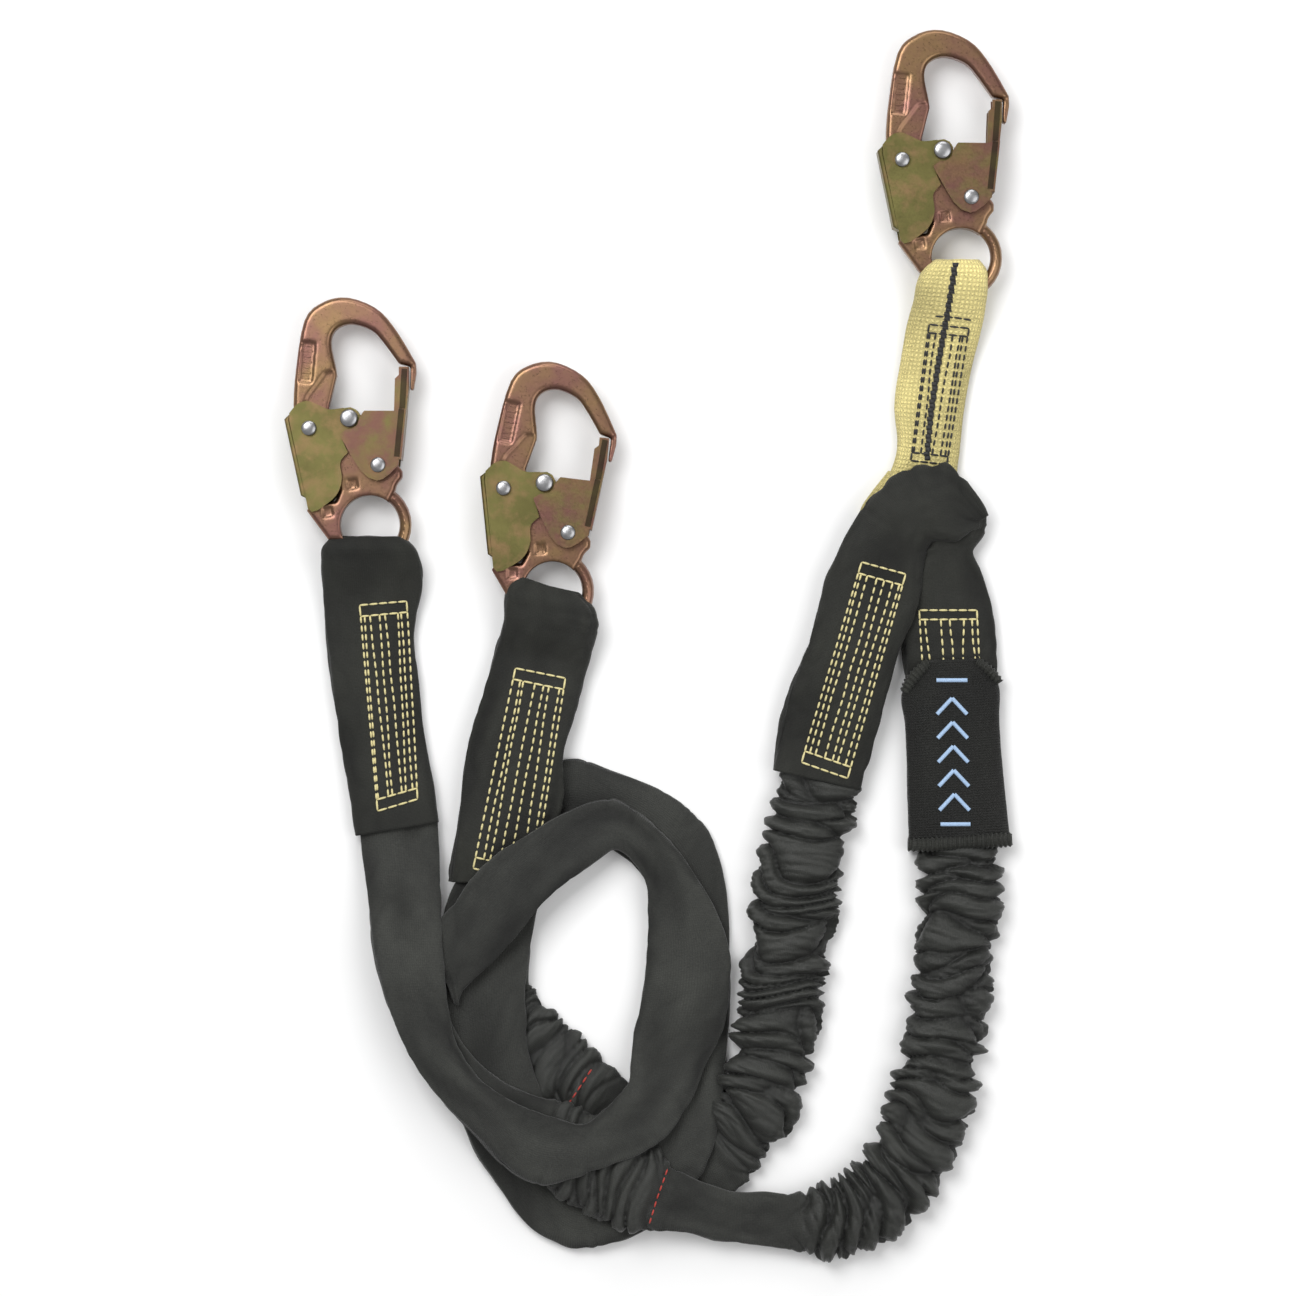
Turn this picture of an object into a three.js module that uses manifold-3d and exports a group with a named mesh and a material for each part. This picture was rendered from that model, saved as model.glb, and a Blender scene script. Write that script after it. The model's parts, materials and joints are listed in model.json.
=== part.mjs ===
// Twin-leg shock absorbing lanyard, laid out flat, in millimetres with +Z up.
// Three double-locking snap hooks, a harness strap, a yoke sleeve, a label pack and two elastic legs.
import * as THREE from 'three';
import { mergeVertices } from 'three/addons/utils/BufferGeometryUtils.js';
import Module from 'manifold-3d';

const wasm = await Module();
wasm.setup();

// Driving dimensions
const gap = 0.3;
const hook_mid_height = 12;
const body_half = 5.5;
const body_edge = 1.5;
const eye_radius = 14.7;
const ring_radius = 21;
const ring_half = 4;
const lever_inner = 6.2;
const lever_outer = 8.2;
const gate_inner = 8.5;
const gate_outer = 10.5;
const arm_half = 6.5;
const sheet_thickness = 2;
const rivet_radius = 2.7;
const rivet_head_radius = 3.8;
const pin_head_radius = 4.45;
const rivet_top = 12;
const spring_wire = 0.6;
const spring_radius = 4.2;
const spring_slot_half = 2.3;
const lever_rivet = [-29.5, 48.4];
const gate_rivet = [4.8, 29.7];
const lock_pin = [-9.5, 53.1];
const lever_travel = 24;
const gate_travel = 22;

const smooth_width = 35;
const smooth_thickness = 5;
const gathered_width = 34;
const long_gather_thickness = 12;
const short_gather_thickness = 7;
const sleeve_wall = 0.6;
const core_width = 18;
const core_thickness = 1.2;
const tack_length = 4;
const tack_width = 30;
const wear_sleeve_width = 45;
const wear_sleeve_thickness = 8;
const thread_thickness = 0.6;
const band_step = 14;

// The lay's own middle, so that the whole part stands on the origin
const plan_centre = [-0.55, -0.88];

// Where each hook's eye lies, how far the hook is turned, and which way its webbing leaves
const hooks = [
  { name: 'hook_1', eye: [-139.25, 58.75], turn: 0.6, webbing: 3.5 },
  { name: 'hook_2', eye: [-48, 25.75], turn: -6, webbing: -11 },
  { name: 'hook_3', eye: [156, 192.25], turn: 0, webbing: -10.4 },
];
const loop_reach = 34;
const loop_flex_room = 3.6;
const strap_reach = 108.8;
const strap_flex_room = 2.7;
const strap_width = 34;

// Routes of the two legs, from the yoke to the hook, as the lanyard lies
const leg_1_route = [
  [156, -105, 6.4], [154, -145, 6.4], [151, -174, 6.4], [146, -209, 6.4], [138, -239, 6.4], [127, -263, 6.4],
  [112, -280, 6.4], [95, -289, 6.5], [76, -290, 7.2], [56, -287, 10], [36, -284, 13], [21, -282, 14.8],
  [3, -277, 15.2], [-13, -271, 14.8], [-29, -264, 14], [-47, -254, 13.2], [-67, -241, 14.2], [-82, -225, 16],
  [-92, -205, 16], [-95, -185, 15.6], [-91, -166, 15.4], [-84, -149, 16.6], [-73, -133, 18], [-62, -118, 18.4],
  [-49, -106, 18.2], [-33, -96, 15.8], [-14, -93, 12.6], [1, -104, 10], [11, -121, 8.5], [18, -141, 8.3],
  [19, -161, 8.3], [17, -184, 9.4], [10, -206, 13.5], [1, -225, 18.6], [-13, -240, 21.6], [-32, -250, 21.6],
  [-52, -252, 21.4], [-72, -244, 21.8], [-90, -226, 22.2], [-105, -204, 22.2], [-114, -181, 21.6],
  [-119, -160, 20], [-121.5, -144, 15], [-123, -129, 9.6], [-124, -114, 5.6], [-125, -99, 4.3],
];
const leg_2_route = [
  [85, -70, 10], [79, -96, 7.4], [73, -126, 6.5], [69, -159, 6.5], [65, -186, 6.5], [60, -209, 6.5],
  [55, -230, 6.6], [50, -244, 6.2], [44, -257, 4.6], [34, -267, 3.4], [21, -269, 2.8], [7, -261, 2.8],
  [-9, -248, 2.8], [-24, -234, 3.2], [-38, -222, 3.8], [-52, -210, 3.8], [-64, -196, 3.8], [-73, -180, 3.6],
  [-78, -161, 2.8], [-77, -141, 2.8], [-71, -116, 2.8], [-59, -94, 2.8], [-42, -80, 2.8], [-22, -80, 2.8],
  [-2, -88, 2.8], [12, -103, 2.8], [19, -121, 2.8], [21, -141, 2.8], [21, -161, 2.8], [20, -184, 2.9],
  [18, -206, 4.6], [16, -229, 8], [14, -249, 9.2], [7, -264, 8.8], [-6, -275, 8], [-23, -282, 6.2],
  [-40, -280, 4.2], [-57, -268, 3], [-73, -250, 3.8], [-84, -230, 8.6], [-92, -209, 10.4], [-95, -185, 9.6],
  [-94, -161, 8.6], [-88, -140, 8.8], [-79, -121, 9.8],
];
const wear_sleeve_1_route = [[-125, -93, 4.3], [-130, -49, 4.3], [-135, -4, 4.3], [-137.3, 24.5, 4.8]];
const wear_sleeve_2_route = [
  [-77, -115, 9.9], [-73, -94, 10], [-68, -74, 10], [-62.5, -49, 8.8], [-58.4, -27.6, 5.4], [-54.5, -7.9, 4.8],
];
// Distances along each leg at which the tubing changes from gathered to smooth
const leg_1_ends = { long_gather: 215, short_smooth: 298, short_gather: 345 };
const leg_2_ends = { long_gather: 174, short_smooth: 290, short_gather: 346 };

// Finishes
const finish = (color, roughness, metalness) => new THREE.MeshStandardMaterial({ color, roughness, metalness });
const forged_zinc = () => finish(0x9a7a55, 0.4, 0.9);
const olive_zinc = () => finish(0x8c8347, 0.45, 0.85);
const bright_steel = () => finish(0xc6c8ca, 0.3, 1);
const spring_steel = () => finish(0x6f7072, 0.4, 1);
const aramid_webbing = () => finish(0xc9b765, 0.85, 0);
const black_sleeve = () => finish(0x2b2c2a, 0.85, 0);
const grey_black_tube = () => finish(0x2e2f31, 0.8, 0);
const core_webbing = () => finish(0xb9b4a4, 0.9, 0);
const yellow_thread = () => finish(0xe6dc9a, 0.7, 0);
const black_thread = () => finish(0x1b1b1b, 0.8, 0);
const red_thread = () => finish(0xc23a2c, 0.7, 0);
const label_cloth = () => finish(0x1d1e1c, 0.8, 0);
const pale_blue_thread = () => finish(0xa9c3e2, 0.6, 0);

const radians = THREE.MathUtils.degToRad;

function mesh(name, geometry, material) {
  const made = new THREE.Mesh(geometry, material);
  made.name = name;
  return made;
}

// Booleans
function solid(geometry) {
  const bare = geometry.index ? geometry.toNonIndexed() : geometry.clone();
  bare.deleteAttribute('normal');
  bare.deleteAttribute('uv');
  const merged = mergeVertices(bare, 1e-4);
  const vertProperties = new Float32Array(merged.attributes.position.array);
  const triVerts = new Uint32Array(merged.index.array);
  return new wasm.Manifold(new wasm.Mesh({ numProp: 3, vertProperties, triVerts }));
}

function geometryOf(made) {
  const { vertProperties, triVerts } = made.getMesh();
  const geometry = new THREE.BufferGeometry();
  geometry.setAttribute('position', new THREE.BufferAttribute(new Float32Array(vertProperties), 3));
  geometry.setIndex(new THREE.BufferAttribute(new Uint32Array(triVerts), 1));
  geometry.computeVertexNormals();
  return geometry;
}

const joined = (first, ...rest) => rest.reduce((sum, next) => sum.add(next), first);

// An upright plate with a given outline, between two heights
function plate(outline, bottom, top, edge = 0, curveSegments = 3) {
  const settings = { depth: top - bottom - 2 * edge, bevelEnabled: edge > 0, curveSegments };
  if (edge > 0) {
    Object.assign(settings, { bevelThickness: edge, bevelSize: edge, bevelOffset: -edge, bevelSegments: 1 });
  }
  const geometry = new THREE.ExtrudeGeometry(outline, settings);
  geometry.translate(0, 0, bottom + edge);
  return solid(geometry);
}

function disc([x, y], radius, bottom, top, sides = 20) {
  const geometry = new THREE.CylinderGeometry(radius, radius, top - bottom, sides);
  geometry.rotateX(Math.PI / 2);
  geometry.translate(x, y, (bottom + top) / 2);
  return solid(geometry);
}

function block([x0, y0, z0], [x1, y1, z1], turn = 0) {
  const geometry = new THREE.BoxGeometry(x1 - x0, y1 - y0, z1 - z0);
  geometry.rotateZ(radians(turn));
  geometry.translate((x0 + x1) / 2, (y0 + y1) / 2, (z0 + z1) / 2);
  return solid(geometry);
}

const outlineOf = (points) => new THREE.Shape(points.map(([x, y]) => new THREE.Vector2(x, y)));
const through = (points) => points.map(([x, y]) => new THREE.Vector2(x, y));

// A route on which the flat of the webbing stays level
class LevelRoute extends THREE.CatmullRomCurve3 {
  constructor(points) {
    super(points.map((p) => new THREE.Vector3(...p)), false, 'centripetal');
  }
}

class Stretch extends THREE.Curve {
  constructor(route, from, to) {
    super();
    const whole = route.getLength();
    this.route = route;
    this.from = from / whole;
    this.to = to / whole;
  }

  getPoint(t, target = new THREE.Vector3()) {
    return this.route.getPointAt(THREE.MathUtils.lerp(this.from, this.to, t), target);
  }

  getTangent(t, target = new THREE.Vector3()) {
    return this.route.getTangentAt(THREE.MathUtils.lerp(this.from, this.to, t), target);
  }

  computeFrenetFrames(steps) {
    const up = new THREE.Vector3(0, 0, 1);
    const tangents = [];
    const normals = [];
    const binormals = [];
    for (let i = 0; i <= steps; i++) {
      const tangent = this.getTangent(i / steps).normalize();
      const normal = up.clone().addScaledVector(tangent, -up.dot(tangent)).normalize();
      tangents.push(tangent);
      normals.push(normal);
      binormals.push(new THREE.Vector3().crossVectors(tangent, normal));
    }
    return { tangents, normals, binormals };
  }
}

// A flattened tube's section: x is its thickness and y its width
function flatOval(width, thickness) {
  const shoulder = width / 2 - thickness / 2;
  const side = thickness / 5;
  return [
    [thickness / 2, -shoulder], [thickness / 2, shoulder], [side, width / 2], [-side, width / 2],
    [-thickness / 2, shoulder], [-thickness / 2, -shoulder], [-side, -width / 2], [side, -width / 2],
  ];
}

function flatHexagon(width, thickness) {
  const shoulder = width / 2 - thickness / 2;
  return [
    [thickness / 2, -shoulder], [thickness / 2, shoulder], [0, width / 2],
    [-thickness / 2, shoulder], [-thickness / 2, -shoulder], [0, -width / 2],
  ];
}

function band(route, from, to, section, hollow) {
  const outline = outlineOf(section);
  if (hollow) outline.holes.push(new THREE.Path(through(hollow)));
  const steps = Math.max(2, Math.round((to - from) / band_step));
  return new THREE.ExtrudeGeometry(outline, { steps, extrudePath: new Stretch(route, from, to) });
}

function tubing(route, from, to, width, thickness) {
  const hollow = flatHexagon(width - 4 * sleeve_wall, thickness - 2 * sleeve_wall);
  return band(route, from, to, flatOval(width, thickness), hollow);
}

// The snap hook, lying flat around the centre of its eye, with the mouth upwards in the plan
function hookOutline() {
  const outline = new THREE.Shape();
  outline.moveTo(-36.6, 50);
  outline.lineTo(-37.4, 59.8);
  outline.splineThru(through([
    [-36.4, 74.6], [-31.9, 101.3], [-23.5, 110.7], [-10.7, 113.7], [4.2, 108.2], [14, 97.4], [23.9, 80.6],
  ]));
  outline.lineTo(22.5, 78.6);
  outline.lineTo(15.5, 80.2);
  outline.splineThru(through([
    [8.1, 90.5], [2.2, 96.9], [-7.7, 100.3], [-15.5, 97.8], [-18.3, 91], [-16.1, 78.6], [-15.6, 74.6],
  ]));
  outline.lineTo(-19.6, 58.8);
  outline.lineTo(-17.5, 52);
  outline.quadraticCurveTo(-14, 41, -2.5, 36.5);
  outline.absarc(gate_rivet[0], gate_rivet[1], 8, radians(130), radians(20), true);
  outline.lineTo(16.5, 26.7);
  outline.lineTo(16.5, 23.2);
  outline.quadraticCurveTo(12.8, 19.5, 13.1, 17.3);
  outline.lineTo(9.5, 10.5);
  outline.lineTo(-9, -8);
  outline.lineTo(-20.6, -7.4);
  outline.lineTo(-31.4, 7.4);
  outline.lineTo(-28.5, 11.3);
  outline.lineTo(-17, 12);
  outline.lineTo(-15, 17.5);
  outline.lineTo(-31.2, 41.5);
  outline.lineTo(-35.6, 47.5);
  return outline;
}

function hookBody() {
  const wall = (ring_radius - eye_radius) / 2;
  const ring = new THREE.LatheGeometry(
    Array.from({ length: 9 }, (_, i) => {
      const angle = (i / 8) * 2 * Math.PI;
      return new THREE.Vector2(eye_radius + wall + wall * Math.cos(angle), ring_half * Math.sin(angle));
    }),
    32,
  );
  ring.rotateX(Math.PI / 2);
  let body = plate(hookOutline(), -body_half, body_half, body_edge, 3);
  const nose_lip = outlineOf([[23.9, 80.6], [24.1, 75.6], [22.6, 66.9], [20.9, 67.2], [21.2, 80], [22.6, 81.4]]);
  body = body.add(plate(nose_lip, -4.2, 4.2));
  body = body.subtract(disc([0, 0], eye_radius, -9, 9, 32));
  body = body.add(solid(ring));
  body = body.subtract(disc(lever_rivet, rivet_radius + gap, -9, 9));
  body = body.subtract(disc(gate_rivet, rivet_radius + gap, -9, 9));
  const scoop = outlineOf([[-34, 56], [-30.4, 64.7], [-21.5, 76.6], [-13, 78], [-13, 50], [-34, 50]]);
  for (const [low, high] of [[4.7, 8], [-8, -4.7]]) {
    body = body.subtract(block([-34, 71, low], [-26.5, 92, high], -6));
    body = body.subtract(block([-11, 17.5, low], [-5.4, 23, high], 8));
    body = body.subtract(block([-23.5, 3.8, low], [-18, 9.2, high], 8));
    body = body.subtract(plate(scoop, low, high));
  }
  const slot = spring_slot_half;
  body = body.subtract(block([-2, 23.5, -slot], [18, 45, slot]));
  body = body.subtract(block([-45, 42.5, -slot], [-23.8, 54.5, slot]));
  return geometryOf(body);
}

function lockLever() {
  const cheek = new THREE.Shape();
  cheek.moveTo(-39.3, 51.9);
  cheek.lineTo(-39.3, 55.9);
  cheek.splineThru(through([[-35.4, 60.3], [-30.5, 62], [-25.5, 60.3], [-19.6, 57.7], [-12.5, 58.3]]));
  cheek.absarc(...lock_pin, 5.6, radians(115), radians(-80), true);
  cheek.lineTo(-14.1, 45);
  cheek.lineTo(-10.2, 36);
  cheek.splineThru(through([[-14.1, 31.1], [-13.4, 22.5], [-16.6, 14.3], [-25.5, 7.4]]));
  cheek.lineTo(-28.5, 6.6);
  cheek.lineTo(-30.5, 8.4);
  cheek.lineTo(-31.4, 13.3);
  const spine = outlineOf([[-41.8, 52.9], [-33.9, 14.8], [-31, 13.3], [-38.9, 52], [-39.2, 55.4]]);
  let lever = plate(spine, -lever_outer, lever_outer, 0.8);
  lever = joined(lever, plate(cheek, lever_inner, lever_outer), plate(cheek, -lever_outer, -lever_inner));
  lever = lever.subtract(disc(lever_rivet, rivet_radius + gap, -9, 9));
  return geometryOf(lever.subtract(disc(lock_pin, rivet_radius + gap, -9, 9)));
}

// Where the lock pin passes as seen from the gate, when the lever and the gate open together
function pinPath(steps) {
  const turned = ([x, y], angle) => {
    const [c, s] = [Math.cos(angle), Math.sin(angle)];
    return [c * x - s * y, s * x + c * y];
  };
  const path = [];
  for (let i = 0; i <= steps; i++) {
    const lever_angle = radians((lever_travel * i) / steps);
    const gate_angle = radians((gate_travel * i) / steps);
    const arm = turned([lock_pin[0] - lever_rivet[0], lock_pin[1] - lever_rivet[1]], lever_angle);
    const from_gate = [lever_rivet[0] + arm[0] - gate_rivet[0], lever_rivet[1] + arm[1] - gate_rivet[1]];
    const seen = turned(from_gate, -gate_angle);
    path.push([gate_rivet[0] + seen[0], gate_rivet[1] + seen[1]]);
  }
  return path;
}

function gate() {
  const cheek = new THREE.Shape();
  cheek.moveTo(13.1, 56.5);
  cheek.lineTo(-1.8, 56.7);
  cheek.splineThru(through([[-3.8, 55.4], [-4.3, 52.9], [-5.2, 49.9], [-7.7, 47.9], [-10.7, 47.5]]));
  cheek.lineTo(-14.1, 45);
  cheek.lineTo(-13.6, 43.5);
  cheek.lineTo(-7.7, 33.1);
  cheek.quadraticCurveTo(-2.5, 22.5, 4.2, 21.8);
  cheek.quadraticCurveTo(8, 21.6, 15, 29.4);
  cheek.lineTo(15.4, 33);
  cheek.lineTo(17.8, 55);
  const back = outlineOf([[16.4, 32], [18.9, 54.9], [19.1, 57.5], [17, 57.5], [14.3, 33]]);
  const arm_side = outlineOf([
    [12.8, 54], [13.5, 72.7], [15.5, 74.6], [15.5, 78.6], [20.3, 78.6], [20.3, 67.7], [18.8, 54],
  ]);
  const arm_back = outlineOf([[16.8, 54], [18.3, 67.7], [18.3, 78.6], [20.3, 78.6], [20.3, 67.7], [18.8, 54]]);
  const shoulder = outlineOf([[12.8, 54.6], [12.8, 56.5], [19, 57.5], [18.8, 54.6]]);
  let made = joined(
    plate(back, -gate_outer, gate_outer),
    plate(cheek, gate_inner, gate_outer),
    plate(cheek, -gate_outer, -gate_inner),
    plate(shoulder, -gate_outer, gate_outer),
    plate(arm_side, arm_half - sheet_thickness, arm_half),
    plate(arm_side, -arm_half, sheet_thickness - arm_half),
    plate(arm_back, -arm_half, arm_half),
  );
  made = made.subtract(disc(gate_rivet, rivet_radius + gap, -11, 11));
  for (const place of pinPath(6)) made = made.subtract(disc(place, pin_head_radius + gap, -11, 11));
  return geometryOf(made);
}

// A pin with a low domed head at each end, standing on the plan at the given place
function headedPin([x, y], shaft_half, head_radius, head_top) {
  const rise = head_top - shaft_half;
  const half = [
    [0, head_top], [head_radius * 0.55, head_top], [head_radius, head_top - rise * 0.55],
    [head_radius, shaft_half], [rivet_radius, shaft_half],
  ];
  const other = half.map(([r, z]) => [r, -z]).reverse();
  const profile = [...half, ...other].map(([r, z]) => new THREE.Vector2(r, z)).reverse();
  const geometry = new THREE.LatheGeometry(profile, 16);
  geometry.rotateX(Math.PI / 2);
  geometry.translate(x, y, 0);
  return geometryOf(solid(geometry));
}

// A two-turn torsion spring round a rivet, with a short leg at each end
function torsionSpring([x, y], first_leg, second_leg) {
  const turns = 2;
  const per_turn = 9;
  const rise = 1.4;
  const points = [];
  const at = (angle, radius, z) => new THREE.Vector3(x + radius * Math.cos(angle), y + radius * Math.sin(angle), z);
  const start = radians(first_leg);
  const sweep = turns * 2 * Math.PI + radians(second_leg - first_leg);
  const count = Math.round((sweep / (2 * Math.PI)) * per_turn);
  points.push(at(start - 0.5, spring_radius + 3.2, -rise));
  for (let i = 0; i <= count; i++) points.push(at(start + (sweep * i) / count, spring_radius, rise * ((2 * i) / count - 1)));
  points.push(at(start + sweep + 0.5, spring_radius + 3.2, rise));
  const wire = outlineOf(Array.from({ length: 6 }, (_, i) => {
    const angle = (i / 6) * 2 * Math.PI;
    return [spring_wire * Math.cos(angle), spring_wire * Math.sin(angle)];
  }));
  const extrudePath = new THREE.CatmullRomCurve3(points);
  return new THREE.ExtrudeGeometry(wire, { steps: count + 8, extrudePath });
}

function addHook(lanyard, { name, eye, turn }) {
  const hook = new THREE.Group();
  hook.position.set(eye[0], eye[1], hook_mid_height);
  hook.rotation.z = radians(turn);
  const lever_stack = lever_outer + gap;
  const gate_stack = gate_outer + gap;
  hook.add(
    mesh(`${name}_body`, hookBody(), forged_zinc()),
    mesh(`${name}_gate`, gate(), forged_zinc()),
    mesh(`${name}_lock_lever`, lockLever(), olive_zinc()),
    mesh(`${name}_lever_rivet`, headedPin(lever_rivet, lever_stack, rivet_head_radius, rivet_top - 1.2), bright_steel()),
    mesh(`${name}_gate_rivet`, headedPin(gate_rivet, gate_stack, rivet_head_radius, rivet_top), bright_steel()),
    mesh(`${name}_lock_pin`, headedPin(lock_pin, lever_stack, pin_head_radius, rivet_top), bright_steel()),
    mesh(`${name}_gate_spring`, torsionSpring(gate_rivet, 20, 100), spring_steel()),
    mesh(`${name}_lever_spring`, torsionSpring(lever_rivet, 180, 200), spring_steel()),
  );
  lanyard.add(hook);
}

// Webbing through a hook's eye: a closed loop round the ring, seen from its edge as y along the webbing and z up
function edgewise(profile, half_width) {
  const geometry = new THREE.ExtrudeGeometry(outlineOf(profile), { depth: 2 * half_width, bevelEnabled: false });
  geometry.translate(0, 0, -half_width);
  const along = new THREE.Vector3(0, 1, 0);
  const up = new THREE.Vector3(0, 0, 1);
  const across = new THREE.Vector3(1, 0, 0);
  geometry.applyMatrix4(new THREE.Matrix4().makeBasis(along, up, across));
  return solid(geometry);
}

const eye_fold = [[-6.5, 8.6], [-2.5, 5.5], [-0.4, 1.6], [-0.4, -1.6], [-2.5, -5.5], [-6.5, -8.6]];
const eye_fold_inside = [[-7, -6], [-4.6, -3.4], [-3.4, -1.2], [-3.4, 1.2], [-4.6, 3.4], [-7, 6]];

function webbingLoop(tail_top, tail_bottom, half_width) {
  const narrow = 12.8;
  const fold = [...eye_fold, [-14, -8.6], [-14, -6], ...eye_fold_inside, [-14, 6], [-14, 8.6]];
  const plies = [
    [-11, 8.6], [-24, 8.6], ...tail_top, ...tail_bottom, [-24, -8.6], [-11, -8.6],
    [-11, -6], [-25, -6], [-25.6, 0], [-25, 6], [-11, 6],
  ];
  return edgewise(fold, narrow).add(edgewise(plies, half_width));
}

function addWebbing(lanyard, { eye, turn, webbing }, name, geometry, material) {
  const place = new THREE.Group();
  place.position.set(eye[0], eye[1], hook_mid_height);
  place.rotation.z = radians(webbing);
  place.add(mesh(name, geometry, material));
  lanyard.add(place);
}

function addWearSleeveLoop(lanyard, hook) {
  const end = -loop_reach + loop_flex_room;
  const loop = webbingLoop([[end, -3.2]], [[end, -11.2]], 21);
  addWebbing(lanyard, hook, `${hook.name}_webbing_loop`, geometryOf(loop), black_sleeve());
}

function addHarnessStrap(lanyard, hook) {
  const end = -strap_reach + strap_flex_room;
  const top = -5.6;
  const bottom = -11.6;
  const strap = webbingLoop([[-42, top], [end, top]], [[end, bottom], [-42, bottom]], strap_width / 2);
  addWebbing(lanyard, hook, 'harness_strap', geometryOf(strap), aramid_webbing());
  const stitched = block([-12, -104, top + gap], [12, -44, top + gap + thread_thickness]);
  addWebbing(lanyard, hook, 'harness_strap_stitching', geometryOf(stitched), black_thread());
}

// The yoke: a padded wear sleeve over the webbing that joins both legs, folded over the harness strap's end
function yokeSleeve() {
  const front = new THREE.Shape();
  front.moveTo(107, 68);
  front.quadraticCurveTo(118, 84, 134, 83.5);
  front.quadraticCurveTo(148, 82, 156, 79.6);
  front.quadraticCurveTo(164, 78, 169, 64);
  front.lineTo(168, 52);
  front.quadraticCurveTo(150, 46, 139, 50);
  front.quadraticCurveTo(130, 30, 124, -3);
  front.lineTo(106, -68);
  front.lineTo(63, -64.5);
  front.lineTo(70, -28);
  front.quadraticCurveTo(92, 20, 107, 68);
  const rear = new THREE.Shape();
  rear.moveTo(140, 51);
  rear.lineTo(168, 60);
  rear.lineTo(168, 52);
  rear.quadraticCurveTo(160, 46, 168, 32);
  rear.quadraticCurveTo(175, 10, 176, -15);
  rear.lineTo(177.5, -104);
  rear.lineTo(133.5, -104);
  rear.lineTo(133.4, -15);
  rear.quadraticCurveTo(132, 25, 140, 51);
  return plate(front, 8.6, 14.4, 1.2, 5).add(plate(rear, 2.8, 9, 1.2, 5));
}

function addYoke(lanyard) {
  lanyard.add(mesh('yoke_wear_sleeve', geometryOf(yokeSleeve()), black_sleeve()));
  const end_top = 6.2;
  const yellow = new THREE.Shape();
  yellow.moveTo(119.5, 86);
  yellow.lineTo(152.5, 80);
  yellow.lineTo(146, 62);
  yellow.quadraticCurveTo(125, 62, 108, 68);
  yellow.quadraticCurveTo(112, 76, 119.5, 86);
  lanyard.add(mesh('harness_strap_yoke_loop', geometryOf(plate(yellow, 0.2, end_top, 0, 4)), aramid_webbing()));
  const left_rows = block([78.5, -61, 14.4 + gap], [100.5, 36, 14.4 + gap + thread_thickness], -22.5);
  const right_rows = block([138, -12, 9 + gap], [164, 15, 9 + gap + thread_thickness]);
  lanyard.add(mesh('yoke_left_stitching', geometryOf(left_rows), yellow_thread()));
  lanyard.add(mesh('yoke_right_stitching', geometryOf(right_rows), yellow_thread()));
}

function addLabelPack(lanyard) {
  const [left, right] = [130.5, 180.5];
  const [low, high] = [-101.5, -14];
  const outside = block([left, low, 0], [right, high, 12]);
  const inside = block([left + 2.2, low - 5, 2.2], [right - 2.2, high + 5, 9.6]);
  lanyard.add(mesh('label_cover', geometryOf(outside.subtract(inside)), label_cloth()));
  const strip = (from, to) => block([left, from, 12 + gap], [right, to, 12 + gap + 1.2]);
  lanyard.add(mesh('label_top_binding', geometryOf(strip(high - 6, high)), label_cloth()));
  lanyard.add(mesh('label_bottom_hem', geometryOf(strip(low, low + 5)), label_cloth()));
  const chevron = outlineOf([[147, -75], [156, -68], [165, -75], [165, -40], [156, -33], [147, -40]]);
  lanyard.add(mesh('label_embroidery', geometryOf(plate(chevron, 12 + gap, 12 + gap + 0.6)), pale_blue_thread()));
}

function addLeg(lanyard, name, points, ends) {
  const route = new LevelRoute(points);
  const whole = route.getLength();
  const seam = gap / 2;
  const part = (title, from, to, width, thickness, material) => {
    lanyard.add(mesh(`${name}_${title}`, tubing(route, from, to, width, thickness), material));
  };
  part('long_gathered_sleeve', seam, ends.long_gather - seam, gathered_width, long_gather_thickness, black_sleeve());
  part('short_smooth_sleeve', ends.long_gather + seam, ends.short_smooth - seam, smooth_width, smooth_thickness,
    grey_black_tube());
  part('short_gathered_sleeve', ends.short_smooth + seam, ends.short_gather - seam, gathered_width,
    short_gather_thickness, black_sleeve());
  part('smooth_sleeve', ends.short_gather + seam, whole - seam, smooth_width, smooth_thickness, grey_black_tube());
  const core = band(route, 1, whole - 1, flatHexagon(core_width, core_thickness));
  lanyard.add(mesh(`${name}_core_webbing`, core, core_webbing()));
  const tack_from = ends.short_smooth - tack_length - 1;
  const lift = smooth_thickness / 2 + gap + thread_thickness / 2;
  const above = new LevelRoute(points.map(([x, y, z]) => [x, y, z + lift]));
  const tack = band(above, tack_from, tack_from + tack_length, flatHexagon(tack_width, thread_thickness));
  lanyard.add(mesh(`${name}_red_tack`, tack, red_thread()));
}

function addWearSleeve(lanyard, name, points) {
  const route = new LevelRoute(points);
  const whole = route.getLength();
  const outer = flatOval(wear_sleeve_width, wear_sleeve_thickness);
  lanyard.add(mesh(`${name}_wear_sleeve`, band(route, 0.5, whole, outer), black_sleeve()));
  const above = new LevelRoute(points.map(([x, y, z]) => [x, y, z + wear_sleeve_thickness / 2 + 1.2]));
  const rows = flatHexagon(26, thread_thickness);
  lanyard.add(mesh(`${name}_stitching`, band(above, 12, whole - 14, rows), yellow_thread()));
}

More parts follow.
